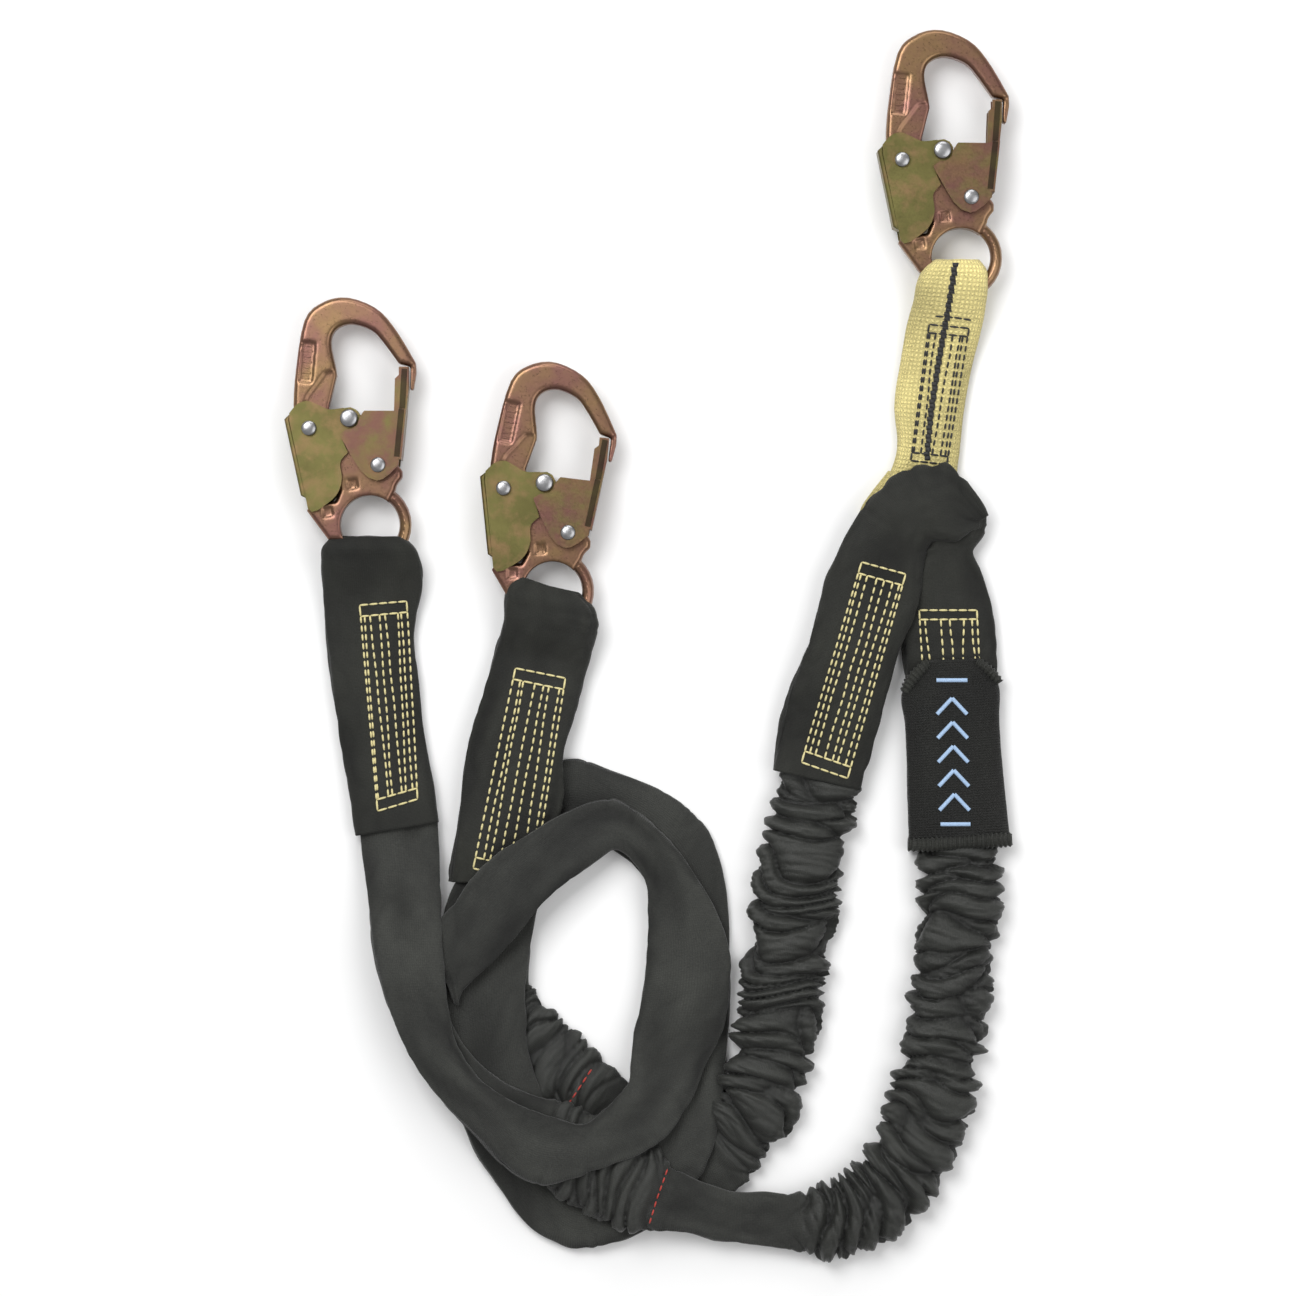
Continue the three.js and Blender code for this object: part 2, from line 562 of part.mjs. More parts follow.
function buildLanyard() {
  const lanyard = new THREE.Group();
  for (const hook of hooks) addHook(lanyard, hook);
  addWearSleeveLoop(lanyard, hooks[0]);
  addWearSleeveLoop(lanyard, hooks[1]);
  addHarnessStrap(lanyard, hooks[2]);
  addYoke(lanyard);
  addLabelPack(lanyard);
  addLeg(lanyard, 'leg_1', leg_1_route, leg_1_ends);
  addLeg(lanyard, 'leg_2', leg_2_route, leg_2_ends);
  addWearSleeve(lanyard, 'leg_1', wear_sleeve_1_route);
  addWearSleeve(lanyard, 'leg_2', wear_sleeve_2_route);
  lanyard.position.set(-plan_centre[0], -plan_centre[1], 0);
  return lanyard;
}

export default buildLanyard();
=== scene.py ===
"""Twin-leg shock absorbing lanyard: its cloth, webbing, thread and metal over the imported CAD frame."""

import json
import math

import bpy
import numpy as np
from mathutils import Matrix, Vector
from mathutils.bvhtree import BVHTree

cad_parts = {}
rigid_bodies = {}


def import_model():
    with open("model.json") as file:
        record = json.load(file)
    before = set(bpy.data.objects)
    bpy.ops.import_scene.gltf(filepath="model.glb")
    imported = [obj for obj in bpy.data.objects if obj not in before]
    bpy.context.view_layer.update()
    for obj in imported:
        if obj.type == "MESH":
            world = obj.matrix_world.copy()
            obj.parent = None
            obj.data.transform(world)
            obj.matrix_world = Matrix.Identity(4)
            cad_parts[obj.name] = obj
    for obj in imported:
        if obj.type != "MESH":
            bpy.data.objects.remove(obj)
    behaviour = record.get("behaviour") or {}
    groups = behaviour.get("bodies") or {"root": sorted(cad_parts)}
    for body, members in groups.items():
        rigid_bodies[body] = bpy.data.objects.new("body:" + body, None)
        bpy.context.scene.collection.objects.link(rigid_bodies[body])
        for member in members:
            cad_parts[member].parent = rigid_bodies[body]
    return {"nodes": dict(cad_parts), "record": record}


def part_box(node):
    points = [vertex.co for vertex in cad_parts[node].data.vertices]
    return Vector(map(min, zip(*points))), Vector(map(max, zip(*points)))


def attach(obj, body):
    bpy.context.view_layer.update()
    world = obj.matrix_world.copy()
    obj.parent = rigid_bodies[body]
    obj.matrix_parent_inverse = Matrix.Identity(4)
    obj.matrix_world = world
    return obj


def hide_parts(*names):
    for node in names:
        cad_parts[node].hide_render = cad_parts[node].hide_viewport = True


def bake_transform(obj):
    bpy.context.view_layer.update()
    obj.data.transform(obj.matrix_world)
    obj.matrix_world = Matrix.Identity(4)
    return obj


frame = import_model()

bl_info = {
    "name": "Shock Absorbing Lanyard",
    "version": (1, 0, 0),
    "blender": (4, 5, 0),
    "location": "View3D > Sidebar > Lanyard",
    "description": "Builds the cloth, thread and finishes of a twin-leg lanyard",
    "category": "Object",
}

MM = 0.001
HOOKS = ("hook_1", "hook_2", "hook_3")
# The lever rivet, and the way from it to the gate rivet, as the hook stands upright, in millimetres
LEVER_RIVET = Vector((-29.5, 48.4))
RIVET_STEP = Vector((34.3, -18.7))
# The stage: the floor's height and half width, and the camera's place over it and the width that it takes in
FLOOR_LEVEL = -0.0003
FLOOR_HALF = 3.0
CAMERA_PLACE = (0.0003, -0.0019, 2.6)
VIEW_WIDTH = 0.648
# Height at which the view is exactly that wide: the middle of a hook's thickness
VIEW_LEVEL = 12 * MM
# The six faces of a box whose corners run round its foot and then round its top
BOX_FACES = ((3, 2, 1, 0), (4, 5, 6, 7), (0, 1, 5, 4), (1, 2, 6, 5), (2, 3, 7, 6), (3, 0, 4, 7))

# Each soft piece is a list of cross lines in millimetres, in order along it: the left edge's x and y, the
# right edge's x and y, the height of its middle and its thickness. A gathered line ends with how gathered it
# is, up to 1.
LEG_1 = [
    (173, -98, 140, -98, 6.2, 6, 0.3), (173, -107, 139, -107, 6.6, 10.5, 1),
    (174, -124, 139, -123, 7.8, 14.5, 1), (172, -145, 137, -142, 7.8, 14.5, 1),
    (169, -175, 134, -170, 7.8, 14.5, 1), (164, -212, 130, -204, 7.8, 14.5, 1),
    (154, -247, 123, -229, 7.8, 14.5, 1), (139, -276, 116, -249, 7.8, 14.5, 1),
    (120, -295, 105, -263, 7.8, 14.5, 1), (97, -304, 93, -271, 7.8, 14, 1),
    (84, -304, 82, -275, 7.8, 11, 0.8), (74, -303, 72, -276, 8, 8, 0.2), (60, -301, 59, -275, 9, 6),
    (45, -299, 44, -275, 10.5, 5), (34, -298, 29, -270, 12, 5), (19, -294, 18, -264, 14, 5),
    (4, -293, 12, -261, 15, 5.5, 0.3), (-8, -292, 4, -253, 15, 7, 1), (-22, -286, -10, -245, 14.8, 7.2, 1),
    (-39, -278, -24, -237, 14.4, 7, 1), (-54, -267, -39, -230, 13.8, 6.4, 0.7),
    (-68, -257, -51, -227, 13.8, 5), (-90, -237, -71, -219, 14.6, 5), (-107, -215, -90, -203, 15.6, 5),
    (-120, -188, -101, -182, 15.8, 5), (-120, -160, -99, -164, 15.6, 5), (-109, -144, -96, -179, 15.6, 5),
    (-97, -131, -92, -173, 16.4, 5), (-87, -118, -80, -162, 17.4, 5), (-74, -105, -66, -147, 18.2, 5),
    (-58, -94, -54, -132, 18.4, 5), (-41, -84, -41, -120, 17.8, 5), (-25, -78, -30, -111, 15.8, 5),
    (-12, -79, -18, -102, 13.4, 5), (2, -90, -11, -104, 11.6, 5), (14, -102, -4, -112, 10.2, 5),
    (25, -117, 0, -121, 9.2, 5), (34, -134, 0, -134, 8.6, 5), (40, -153, 0, -148, 8.3, 5),
    (41, -170, -1, -165, 8.3, 5), (40, -183, -4, -182, 8.8, 5), (37, -194, -7, -194, 9.6, 5),
    (29, -210, -8, -207, 12, 5), (20, -230, -9, -218, 15, 5), (6, -247, -15, -225, 18.4, 5),
    (-16, -258, -23, -233, 20.6, 5), (-32, -264, -31, -239, 21.4, 5), (-52, -269, -45, -236, 21.6, 5),
    (-70, -261, -60, -231, 21.4, 5), (-87, -243, -73, -224, 21.8, 5), (-104, -225, -86, -214, 22.2, 5),
    (-118, -206, -95, -200, 22.2, 5), (-128, -184, -99, -184, 21.6, 5), (-135, -160, -102, -160, 20.4, 5),
    (-139, -130, -103, -128, 13.6, 5), (-143, -100, -105, -98, 6.2, 5), (-144, -85, -106, -84, 4.6, 5),
]
LEG_2 = [
    (105, -62, 71, -54, 9.6, 5, 0.2), (104, -76, 68, -68, 8.8, 9.5, 1), (101, -84, 65, -77, 8.4, 12.5, 1),
    (98, -98, 62, -92, 8.2, 14, 1), (92, -129, 56, -123, 7.8, 14.5, 1), (87, -160, 52, -157, 7.8, 14.5, 1),
    (83, -188, 48, -183, 7.8, 14.5, 1), (77, -214, 44, -203, 7.6, 14, 1), (71, -235, 40, -219, 7, 13, 1),
    (62, -250, 36, -231, 6.4, 11, 1), (54, -261, 31, -237, 5.2, 8, 0.8), (42, -275, 25, -245, 3.8, 5.4),
    (21, -278, 21, -248, 2.8, 5), (4, -268, 12, -239, 2.8, 5), (-13, -254, -1, -227, 2.9, 5),
    (-29, -242, -13, -216, 3.2, 5, 0.2), (-40, -234, -24, -208, 3.6, 6.8, 1),
    (-56, -224, -39, -193, 3.8, 6.8, 1), (-71, -212, -50, -184, 3.8, 6.8, 1),
    (-84, -198, -57, -174, 3.7, 6.4, 0.7), (-91, -180, -60, -170, 3, 5), (-93, -160, -60, -153, 2.8, 5),
    (-90, -140, -60, -135, 2.8, 5), (-84, -120, -58, -118, 2.8, 5), (-74, -88, -50, -103, 2.8, 5),
    (-57, -65, -41, -96, 2.8, 5), (-41, -58, -34, -98, 2.8, 5), (-17, -64, -21, -101, 2.8, 5),
    (1, -71, -11, -107, 2.8, 5), (16, -80, -4, -114, 2.8, 5), (29, -93, 1, -123, 2.8, 5),
    (37, -113, 3, -133, 2.8, 5), (40, -137, 5, -144, 2.8, 5), (41, -158, 5, -159, 2.8, 5),
    (41, -178, 5, -178, 2.9, 5), (40, -198, 4, -195, 3.6, 5), (38, -220, 4, -213, 6, 5),
    (35, -240, 2, -230, 8, 5), (32, -255, 0, -243, 9, 5), (25, -269, -2, -250, 9, 5),
    (10, -285, -8, -257, 8.6, 5), (-4, -295, -18, -262, 7.6, 5), (-22, -301, -29, -266, 6.2, 5),
    (-37, -303, -37, -264, 5, 5), (-50, -298, -36, -258, 4.2, 5), (-62, -289, -42, -245, 3.6, 5),
    (-74, -272, -49, -232, 4.6, 5), (-86, -253, -56, -219, 7.6, 5), (-94, -233, -60, -204, 9.8, 5),
    (-99, -210, -61, -188, 10.4, 5), (-103, -185, -62, -173, 10, 5), (-104, -163, -60, -158, 9, 5),
    (-103, -140, -57, -140, 8.8, 5), (-98, -123, -53, -120, 9.4, 5), (-88, -105, -48, -106, 9.9, 5),
]
WEAR_1 = [
    (-146, -96, -104.5, -89, 6, 11.4), (-148, -78, -107, -72, 5, 9.4), (-154, -48, -111.5, -43, 4.4, 8),
    (-158, -18, -115, -15, 4.4, 8), (-160, 3, -118, 4, 4.4, 8), (-161, 14, -117.5, 14, 4.8, 8.4),
    (-162, 27, -114.5, 30, 7, 10), (-163, 41, -114.5, 41, 10.5, 15), (-162, 49, -117, 49, 12, 17.4),
    (-157, 54, -122, 54, 12, 13),
]
WEAR_2 = [
    (-98, -119, -53, -120, 9.9, 8), (-95, -90, -44, -81, 10, 8), (-89, -48, -42, -56, 9.8, 8),
    (-81, -22, -36, -34, 8.6, 8), (-76, -2, -32, -14, 7, 10), (-72, 12, -28, 2, 10.5, 15),
    (-71, 22, -26, 10, 11.8, 17), (-69, 29, -28, 18, 12, 17.4), (-63, 33, -35, 25, 12, 13),
]
YOKE_REAR = [
    (133, -101, 178, -99, 5.8, 5.6), (131, -58, 176, -55, 5.8, 6), (131, -23, 175, -18, 5.8, 6),
    (129, 2, 174, 4, 5.8, 6.2), (128, 22, 171, 24, 5.8, 6.4), (132, 36, 167, 36, 5.8, 6.8),
    (137, 47, 162, 47, 6.2, 7.4), (140, 54, 167.5, 57, 7, 8), (144, 62, 168, 64, 7.6, 7),
]
YOKE_FRONT = [
    (63, -63, 107, -73, 9.8, 13), (64, -56, 108, -66, 9.8, 12), (65, -50, 110, -60, 10, 9),
    (70, -28, 116, -39, 11, 7.4), (82, 5, 126, -5, 11.5, 7), (92, 35, 135, 21, 11.5, 7),
    (102, 59, 139, 41, 11.6, 7.4), (112, 74, 141, 49, 11.8, 8.4), (126, 86, 144, 52, 12, 9.6),
    (140, 89.5, 149, 53, 12, 10.4), (151, 89, 154, 53.5, 12, 10.6), (160, 79.5, 158, 56, 11.8, 10.2),
    (167, 69, 162, 59, 11.4, 9), (169, 64, 165, 60, 11, 6),
]
LABEL = [
    (141, -8, 167, -7, 6.4, 10.4), (134, -14, 172, -12, 6.3, 11.6), (128.5, -22, 175.5, -19, 6.2, 12),
    (129, -40, 176.5, -37, 6.2, 12), (130, -63, 178, -59, 6.2, 12), (131, -100, 181.5, -98, 6.2, 12.4),
]
# The ribbed tapes round the label: along the hem and along its two upper corners
TAPES = (
    ("label_hem_tape", "label_bottom_hem", [
        (131, -97, 130.8, -103.4, 6.2, 9), (134, -97, 134, -103.6, 6.2, 14.4),
        (158, -95.6, 158, -102.4, 6.2, 14.6), (179, -94.4, 179.4, -101.4, 6.2, 14.4),
        (182.6, -94.6, 183, -101, 6.2, 9),
    ]),
    ("label_left_corner_tape", "label_top_binding", [
        (130.4, -25.6, 126.8, -23.4, 6.2, 10), (133, -21.6, 128.6, -18.4, 6.2, 14),
        (138.4, -15, 134.8, -10.8, 6.3, 14), (141.6, -11.6, 139.6, -7, 6.3, 12),
    ]),
    ("label_right_corner_tape", None, [
        (165.6, -6.4, 163.8, -10.8, 6.3, 12), (170.6, -9.6, 167.6, -13.4, 6.3, 14),
        (175.6, -14.6, 172.2, -17.8, 6.2, 14), (178, -18, 174.4, -20.4, 6.2, 10),
    ]),
)
STRAP = [
    (116, 70, 150, 74, 4.2, 5), (121, 84, 154, 80, 3.6, 5.4), (125, 96, 156, 92, 3.6, 5.6),
    (124, 120, 159, 117, 3.6, 5.8), (127, 142, 163, 140, 3.8, 6), (130, 161, 167, 157, 6.4, 7),
    (133, 172, 169, 169, 9.5, 11), (135, 182, 170, 180, 12, 15.4), (139, 189, 169, 188, 12, 16.5),
    (143, 192, 166, 192, 12, 12),
]
STRAP_REAR = [
    (106, 65, 140, 60, 2.6, 4), (108, 70, 146, 67, 2.6, 4.4), (113, 77, 150, 73, 2.4, 4.4),
    (121, 87, 153, 80, 2.2, 3.8),
]

# Raised bars on a hook as it stands upright, in millimetres: middle x and y, width, length, tilt in degrees,
# and the heights of their foot and top over the floor
STAMPED_MARKS = [
    (-30.2 + (2.7 * k - 8) * 0.105, 73.5 + 2.7 * k, 4.6 if k % 2 else 3.2, 1.1, -6, 16.4, 17.3)
    for k in range(7)
] + [(-9.4, 20.3, 0.8, 3.6, 8, 16.4, 17.3), (-7, 20.3, 0.8, 3.6, 8, 16.4, 17.3)]
# Dark bars laid along the gate's folded channel: painted shade inside the channel
GATE_CHANNEL_SHADE = [(15.5, 45.5, 3, 24, -6.2, 22.2, 22.9), (17.6, 67, 3, 21.5, -4, 18.2, 19)]


# Shapes
def reach_of(points):
    """How far along a line each of its points lies."""
    return np.concatenate([[0], np.cumsum(np.linalg.norm(np.diff(points, axis=0), axis=1))])


def middle_of(rows):
    return np.column_stack([(rows[:, :2] + rows[:, 2:4]) / 2, rows[:, 4]])


def smooth_rows(rows, step):
    """The cross lines at an even step along the piece, on one smooth curve through the given ones."""
    rows = np.array([(*row, 0)[:7] for row in rows], float)
    at = reach_of(middle_of(rows))
    slope = np.gradient(rows, at, axis=0)
    where = np.linspace(0, at[-1], max(3, int(at[-1] / step) + 1))
    i = np.clip(np.searchsorted(at, where, side="right") - 1, 0, len(at) - 2)
    gap = (at[i + 1] - at[i])[:, None]
    t = (where[:, None] - at[i][:, None]) / gap
    made = (2 * t**3 - 3 * t**2 + 1) * rows[i] + (t**3 - 2 * t**2 + t) * gap * slope[i]
    made += (3 * t**2 - 2 * t**3) * rows[i + 1] + (t**3 - t**2) * gap * slope[i + 1]
    middle = middle_of(made)
    return made, reach_of(middle), middle


def ripple(u, v, seed, waves=9, stretch=1.0):
    """A soft random field of about -1 to 1 over two directions in millimetres, at a 10 mm scale."""
    rng = np.random.default_rng(seed)
    total = np.zeros_like(u)
    for _ in range(waves):
        angle, phase = rng.uniform(0, 2 * math.pi, 2)
        size = rng.uniform(0.25, 1.0)
        total += np.sin(size * (u * math.cos(angle) * stretch + v * math.sin(angle)) * 0.63 + phase)
    return total / math.sqrt(waves)


def puckers(u, v, girth, pitch, seed, around=2):
    """Gathered cloth: puffs that run round the tube, 0 in the creases between them and 1 on their crowns."""
    rng = np.random.default_rng(seed)
    count = int(u.max() / pitch) + 4
    cells = [
        ((i - 1 + rng.uniform(-0.36, 0.36)), (k + 0.5 * (i % 2) + rng.uniform(-0.45, 0.45)) / around)
        for i in range(count) for k in range(around)
    ]
    cells = np.array([(a, b + turn) for a, b in cells for turn in (-1, 0, 1)])
    a = (u + 0.42 * pitch * ripple(u * 0.25, v * 0.4, seed + 1)) / pitch
    b = (v + 0.3 * pitch * ripple(u * 0.4, v * 0.3, seed + 2)) / girth
    flat_a, flat_b = a.ravel(), b.ravel()
    first = np.empty(flat_a.size)
    second = np.empty(flat_a.size)
    for start in range(0, flat_a.size, 20000):
        part = slice(start, start + 20000)
        away = np.hypot(flat_a[part, None] - cells[:, 0], (flat_b[part, None] - cells[:, 1]) * around * 0.55)
        away.partition(1, axis=1)
        first[part], second[part] = away[:, 0], away[:, 1]
    crown = np.sqrt(np.clip(1 - first**2, 0, 1))
    crease = np.clip((second - first) * 3.2, 0, 1) ** 0.5
    return (crown * (0.35 + 0.65 * crease)).reshape(u.shape)


def outward(grid):
    """Unit normals of a grid of points that closes on itself across its second direction."""
    along = np.gradient(grid, axis=0)
    around = np.roll(grid, -1, axis=1) - np.roll(grid, 1, axis=1)
    normal = np.cross(around, along)
    return normal / np.maximum(np.linalg.norm(normal, axis=2, keepdims=True), 1e-9)


def bend_folds(middle, u, side, seed):
    """Short folds on the inside of each turn, where the flat tube has cloth to spare."""
    run = np.gradient(middle[:, :2], axis=0)
    heading = np.unwrap(np.arctan2(*run.T[::-1]))
    turn = np.gradient(heading) / np.maximum(np.linalg.norm(run, axis=1), 1e-6)
    window = np.ones(9) / 9
    turn = np.convolve(np.pad(turn, 4, mode="edge"), window, mode="valid")
    inner = np.clip(side * np.sign(turn)[:, None] * 0.9, 0, 1)
    amount = np.clip(np.abs(turn) * 38 - 0.35, 0, 1)[:, None]
    wave = np.abs(np.sin(u / 7.5 * math.pi / 2 + 1.5 * ripple(u, side * 6, seed)))
    return amount * inner * (wave - 0.75)


def soft_tube(name, rows, materials, step, around, wrinkle, seed, pitch=0, puff=0, squareness=0.45, rib=0):
    """A closed flattened tube through its cross lines, wrinkled where smooth and puffed where gathered."""
    made, along, middle = smooth_rows(rows, step)
    left, right = made[:, :2], made[:, 2:4]
    half = np.linalg.norm(right - left, axis=1) / 2
    across = (right - left) / (2 * half[:, None])
    angle = np.linspace(0, 2 * math.pi, around, endpoint=False)
    gathered = np.clip(made[:, 6], 0, 1)[:, None]
    side = -np.cos(angle)[None, :] * np.ones((len(made), 1))
    rise = np.sign(np.sin(angle)) * np.abs(np.sin(angle)) ** (squareness + (0.85 - squareness) * gathered)
    grid = np.empty((len(made), around, 3))
    grid[..., :2] = middle[:, None, :2] + across[:, None, :] * (side * half[:, None])[..., None]
    grid[..., 2] = made[:, 4][:, None] + rise * made[:, 5][:, None] / 2
    girth = 4 * float(np.median(half)) * 1.1
    u = along[:, None] + np.zeros((1, around))
    v = angle[None, :] / (2 * math.pi) * girth + np.zeros((len(made), 1))
    waves = ripple(u * 0.45, v, seed, stretch=0.5) + 1.2 * ripple(u * 0.2, v * 0.3, seed + 3)
    relief = wrinkle * waves * (1 - gathered)
    relief += wrinkle * 0.6 * np.abs(ripple(u * 0.9, v * 1.3, seed + 5)) * (1 - gathered)
    relief += 3.2 * wrinkle * bend_folds(middle, u, side, seed + 9) * (1 - gathered)
    # Painted light: the field is lighter on raised wrinkles, darker in their hollows, and holds painted shade
    # towards the tube's flat edges, where the surface turns from the light
    painted_light = np.clip(0.62 + 0.22 * relief / max(wrinkle, 0.1) - 0.25 * np.abs(side) ** 6, 0, 1)
    if gathered.max() > 0:
        puffs = puckers(u, v, girth, pitch, seed + 20)
        small = puckers(u, v, girth, pitch * 0.45, seed + 25, around=5)
        dimples = 0.22 * puff * (small - 0.6) * np.clip(puffs * 1.4, 0.3, 1)
        relief += gathered * (puff * (puffs - 0.62) + dimples)
        # On the gathers the field holds a painted highlight on each puff's crown and painted shade in the
        # creases between the puffs
        painted_light = painted_light * (1 - gathered) + gathered * np.clip(1.25 * puffs - 0.25 + 0.3 * (small - 0.5), 0, 1)
    thin = np.clip(made[:, 5] / 12, 0.42, 1)[:, None]
    relief *= 1 + 0.45 * gathered * np.abs(side) ** 4
    grid += outward(grid) * (relief * np.where(gathered > 0.5, thin, 1))[..., None]
    if rib:
        grid += outward(grid) * (0.45 * np.cos(2 * math.pi * u / rib))[..., None]
    grid[..., 2] = np.maximum(grid[..., 2], 0.1)
    return skin(name, grid, u, v, gathered, painted_light, materials)


def core_rows(rows, share=0.62, thickness=1.2):
    """The cross lines of the elastic webbing inside a tube, narrower and thin."""
    made = []
    for x0, y0, x1, y1, z, *_ in rows:
        mx, my = (x0 + x1) / 2, (y0 + y1) / 2
        left = (mx + (x0 - mx) * share, my + (y0 - my) * share)
        right = (mx + (x1 - mx) * share, my + (y1 - my) * share)
        made.append((*left, *right, z, thickness))
    return made


def object_of(name, data, materials=()):
    """An object in the scene that holds a mesh with its materials, a light or a camera."""
    for material in materials:
        data.materials.append(material)
    piece = bpy.data.objects.new(name, data)
    bpy.context.scene.collection.objects.link(piece)
    return piece


def skin(name, grid, u, v, gathered, painted_light, materials):
    """A piece from a grid of points in millimetres, closed round its second direction and at both ends."""
    long, around = grid.shape[:2]
    ends = [grid[0].mean(0), grid[-1].mean(0)]
    points = np.vstack([grid.reshape(-1, 3), ends]) * MM
    faces, uvs = [], []
    girth = float(v[0, -1] + v[0, 1])
    for i in range(long - 1):
        for k in range(around):
            j = (k + 1) % around
            faces.append((i * around + k, i * around + j, (i + 1) * around + j, (i + 1) * around + k))
            high = girth if j == 0 else v[i, j]
            uvs += [(u[i, k], v[i, k]), (u[i, k], high), (u[i + 1, k], high), (u[i + 1, k], v[i, k])]
    first, last = long * around, long * around + 1
    for k in range(around):
        j = (k + 1) % around
        faces.append((first, j, k))
        faces.append((last, (long - 1) * around + k, (long - 1) * around + j))
        uvs += [(0, v[0, k])] * 6
    mesh = bpy.data.meshes.new(name)
    mesh.from_pydata(points.tolist(), [], faces)
    layer = mesh.uv_layers.new(name="UVMap")
    layer.data.foreach_set("uv", (np.array(uvs, np.float32) * MM).ravel())
    mesh.polygons.foreach_set("use_smooth", np.ones(len(faces), bool))
    # This layer holds the painted light field: painted shade and painted highlight for the cloth's colour,
    # 0.5 on the end caps
    height = mesh.attributes.new("painted_light", "FLOAT", "POINT")
    height.data.foreach_set("value", np.concatenate([painted_light.ravel(), [0.5, 0.5]]).astype(np.float32))
    if gathered.max() > 0:
        flags = np.repeat((gathered[:-1, 0] > 0.5).astype(np.int32), around)
        mesh.polygons.foreach_set("material_index", np.concatenate([flags, np.full(2 * around, flags[0])]))
    mesh.update()
    return object_of(name, mesh, materials)


def part_of(name, points, faces, material):
    """A smooth-shaded piece from points in metres and faces."""
    mesh = bpy.data.meshes.new(name)
    mesh.from_pydata([tuple(p) for p in points], [], faces)
    mesh.polygons.foreach_set("use_smooth", np.ones(len(faces), bool))
    mesh.update()
    return object_of(name, mesh, [material])


def tree_of(piece):
    """A piece's faces, ready to be found from above."""
    points = [v.co for v in piece.data.vertices]
    return BVHTree.FromPolygons(points, [tuple(p.vertices) for p in piece.data.polygons])


def on_top(tree, x, y):
    """The point of a piece straight below a place in millimetres."""
    hit = tree.ray_cast(Vector((x * MM, y * MM, 0.2)), Vector((0, 0, -1)))[0]
    return hit if hit is not None else Vector((x * MM, y * MM, 0.006))


def stitch_rows(tree, lines, dash, gap, radius):
    """Raised stitches along lines of points in millimetres, lying on a piece: their points and faces."""
    points, faces = [], []
    sides = 6
    for line in lines:
        line = np.array(line, float)
        reach = reach_of(line)
        count = max(1, round((reach[-1] + gap) / (dash + gap)))
        long = (reach[-1] - (count - 1) * gap) / count
        for k in range(count):
            at = k * (long + gap)
            spots = [at, at + long * 0.15, at + long * 0.5, at + long * 0.85, at + long]
            seats = [on_top(tree, *(np.interp(s, reach, line[:, axis]) for axis in (0, 1))) for s in spots]
            run = (seats[-1] - seats[0]).normalized()
            aside = run.cross(Vector((0, 0, 1))).normalized()
            up = aside.cross(run)
            first = len(points)
            for seat, size, lift in zip(seats, (0.35, 0.9, 1.1, 0.9, 0.35), (-0.3, 0.45, 0.75, 0.45, -0.3)):
                for side in range(sides):
                    turn = 2 * math.pi * side / sides
                    offset = aside * math.cos(turn) * radius * size
                    offset += up * (math.sin(turn) * size + lift) * radius
                    points.append(seat + offset)
            for ring in range(4):
                for side in range(sides):
                    a, b = first + ring * sides + side, first + ring * sides + (side + 1) % sides
                    faces.append((a, b, b + sides, a + sides))
            faces.append(tuple(first + side for side in reversed(range(sides))))
            faces.append(tuple(first + 4 * sides + side for side in range(sides)))
    return points, faces


def sew(name, onto, rows, bars, stitch, material, radius=0.5):
    """Rows of stitches and the tighter bars that lock them, laid on a piece."""
    tree = tree_of(onto)
    dash, gap = stitch.dash / MM, stitch.gap / MM
    points, faces = stitch_rows(tree, rows, dash, gap, radius * MM)
    first = len(points)
    more, closed = stitch_rows(tree, bars, dash * 1.3, gap * 0.3, radius * MM)
    faces += [tuple(first + k for k in face) for face in closed]
    return part_of(name, points + more, faces, material)


def between(a, b, t):
    """The point a share of the way from one point to another."""
    return (a[0] + (b[0] - a[0]) * t, a[1] + (b[1] - a[1]) * t)


def stitched_box(top_left, top_right, low_left, low_right, rows, bars, seed):
    """Uneven rows of stitches down a strap, and a narrow box of stitches across each of their ends."""
    rng = np.random.default_rng(seed)
    lines, locks = [], []
    for k in range(rows):
        start, end = (np.clip((k + rng.uniform(0.1, 0.9)) / rows, 0.02, 0.98) for _ in range(2))
        sway = rng.uniform(-0.3, 0.3, 7)
        line = []
        for s, shift in zip(np.linspace(bars, 1 - bars, 7), sway):
            x, y = between(between(top_left, top_right, start), between(low_left, low_right, end), s)
            line.append((x + shift, y))
        lines.append(line)
    for a, b in ((top_left, low_left), (top_right, low_right)):
        lines.append([between(a, b, bars), between(a, b, 1 - bars)])
    for near, far in ((0.0, bars), (1.0 - bars, 1.0)):
        a, b = between(top_left, low_left, near), between(top_right, low_right, near)
        c, d = between(top_left, low_left, far), between(top_right, low_right, far)
        locks += [[a, b], [c, d], [a, c], [b, d]]
    return lines, locks


# Materials
def shade(tint, by):
    return tuple(c * by for c in tint)


def nodes_for(name):
    """A new material, its nodes and its surface."""
    material = bpy.data.materials.new(name)
    material.use_nodes = True
    tree = material.node_tree
    return material, tree, tree.nodes["Principled BSDF"]


def add_node(tree, kind, **values):
    """A new node with its sockets, or its own settings, set by name."""
    node = tree.nodes.new(kind)
    for key, value in values.items():
        if key in node.inputs:
            node.inputs[key].default_value = value
        else:
            setattr(node, key, value)
    return node


def mixed(tree, factor, first, second, blend="MIX"):
    """A colour mix whose factor is a socket or a number."""
    node = tree.nodes.new("ShaderNodeMix")
    node.data_type = "RGBA"
    node.blend_type = blend
    for socket, value in ((node.inputs[0], factor), (node.inputs[6], first), (node.inputs[7], second)):
        if isinstance(value, bpy.types.NodeSocket):
            tree.links.new(value, socket)
        elif isinstance(value, float):
            socket.default_value = value
        else:
            socket.default_value = (*value[:3], 1)
    return node.outputs[2]


def ramp_of(tree, source, low, high):
    """A field stretched so that low becomes 0 and high becomes 1."""
    node = add_node(tree, "ShaderNodeMapRange")
    node.inputs["From Min"].default_value = low
    node.inputs["From Max"].default_value = high
    tree.links.new(source, node.inputs["Value"])
    return node.outputs["Result"]


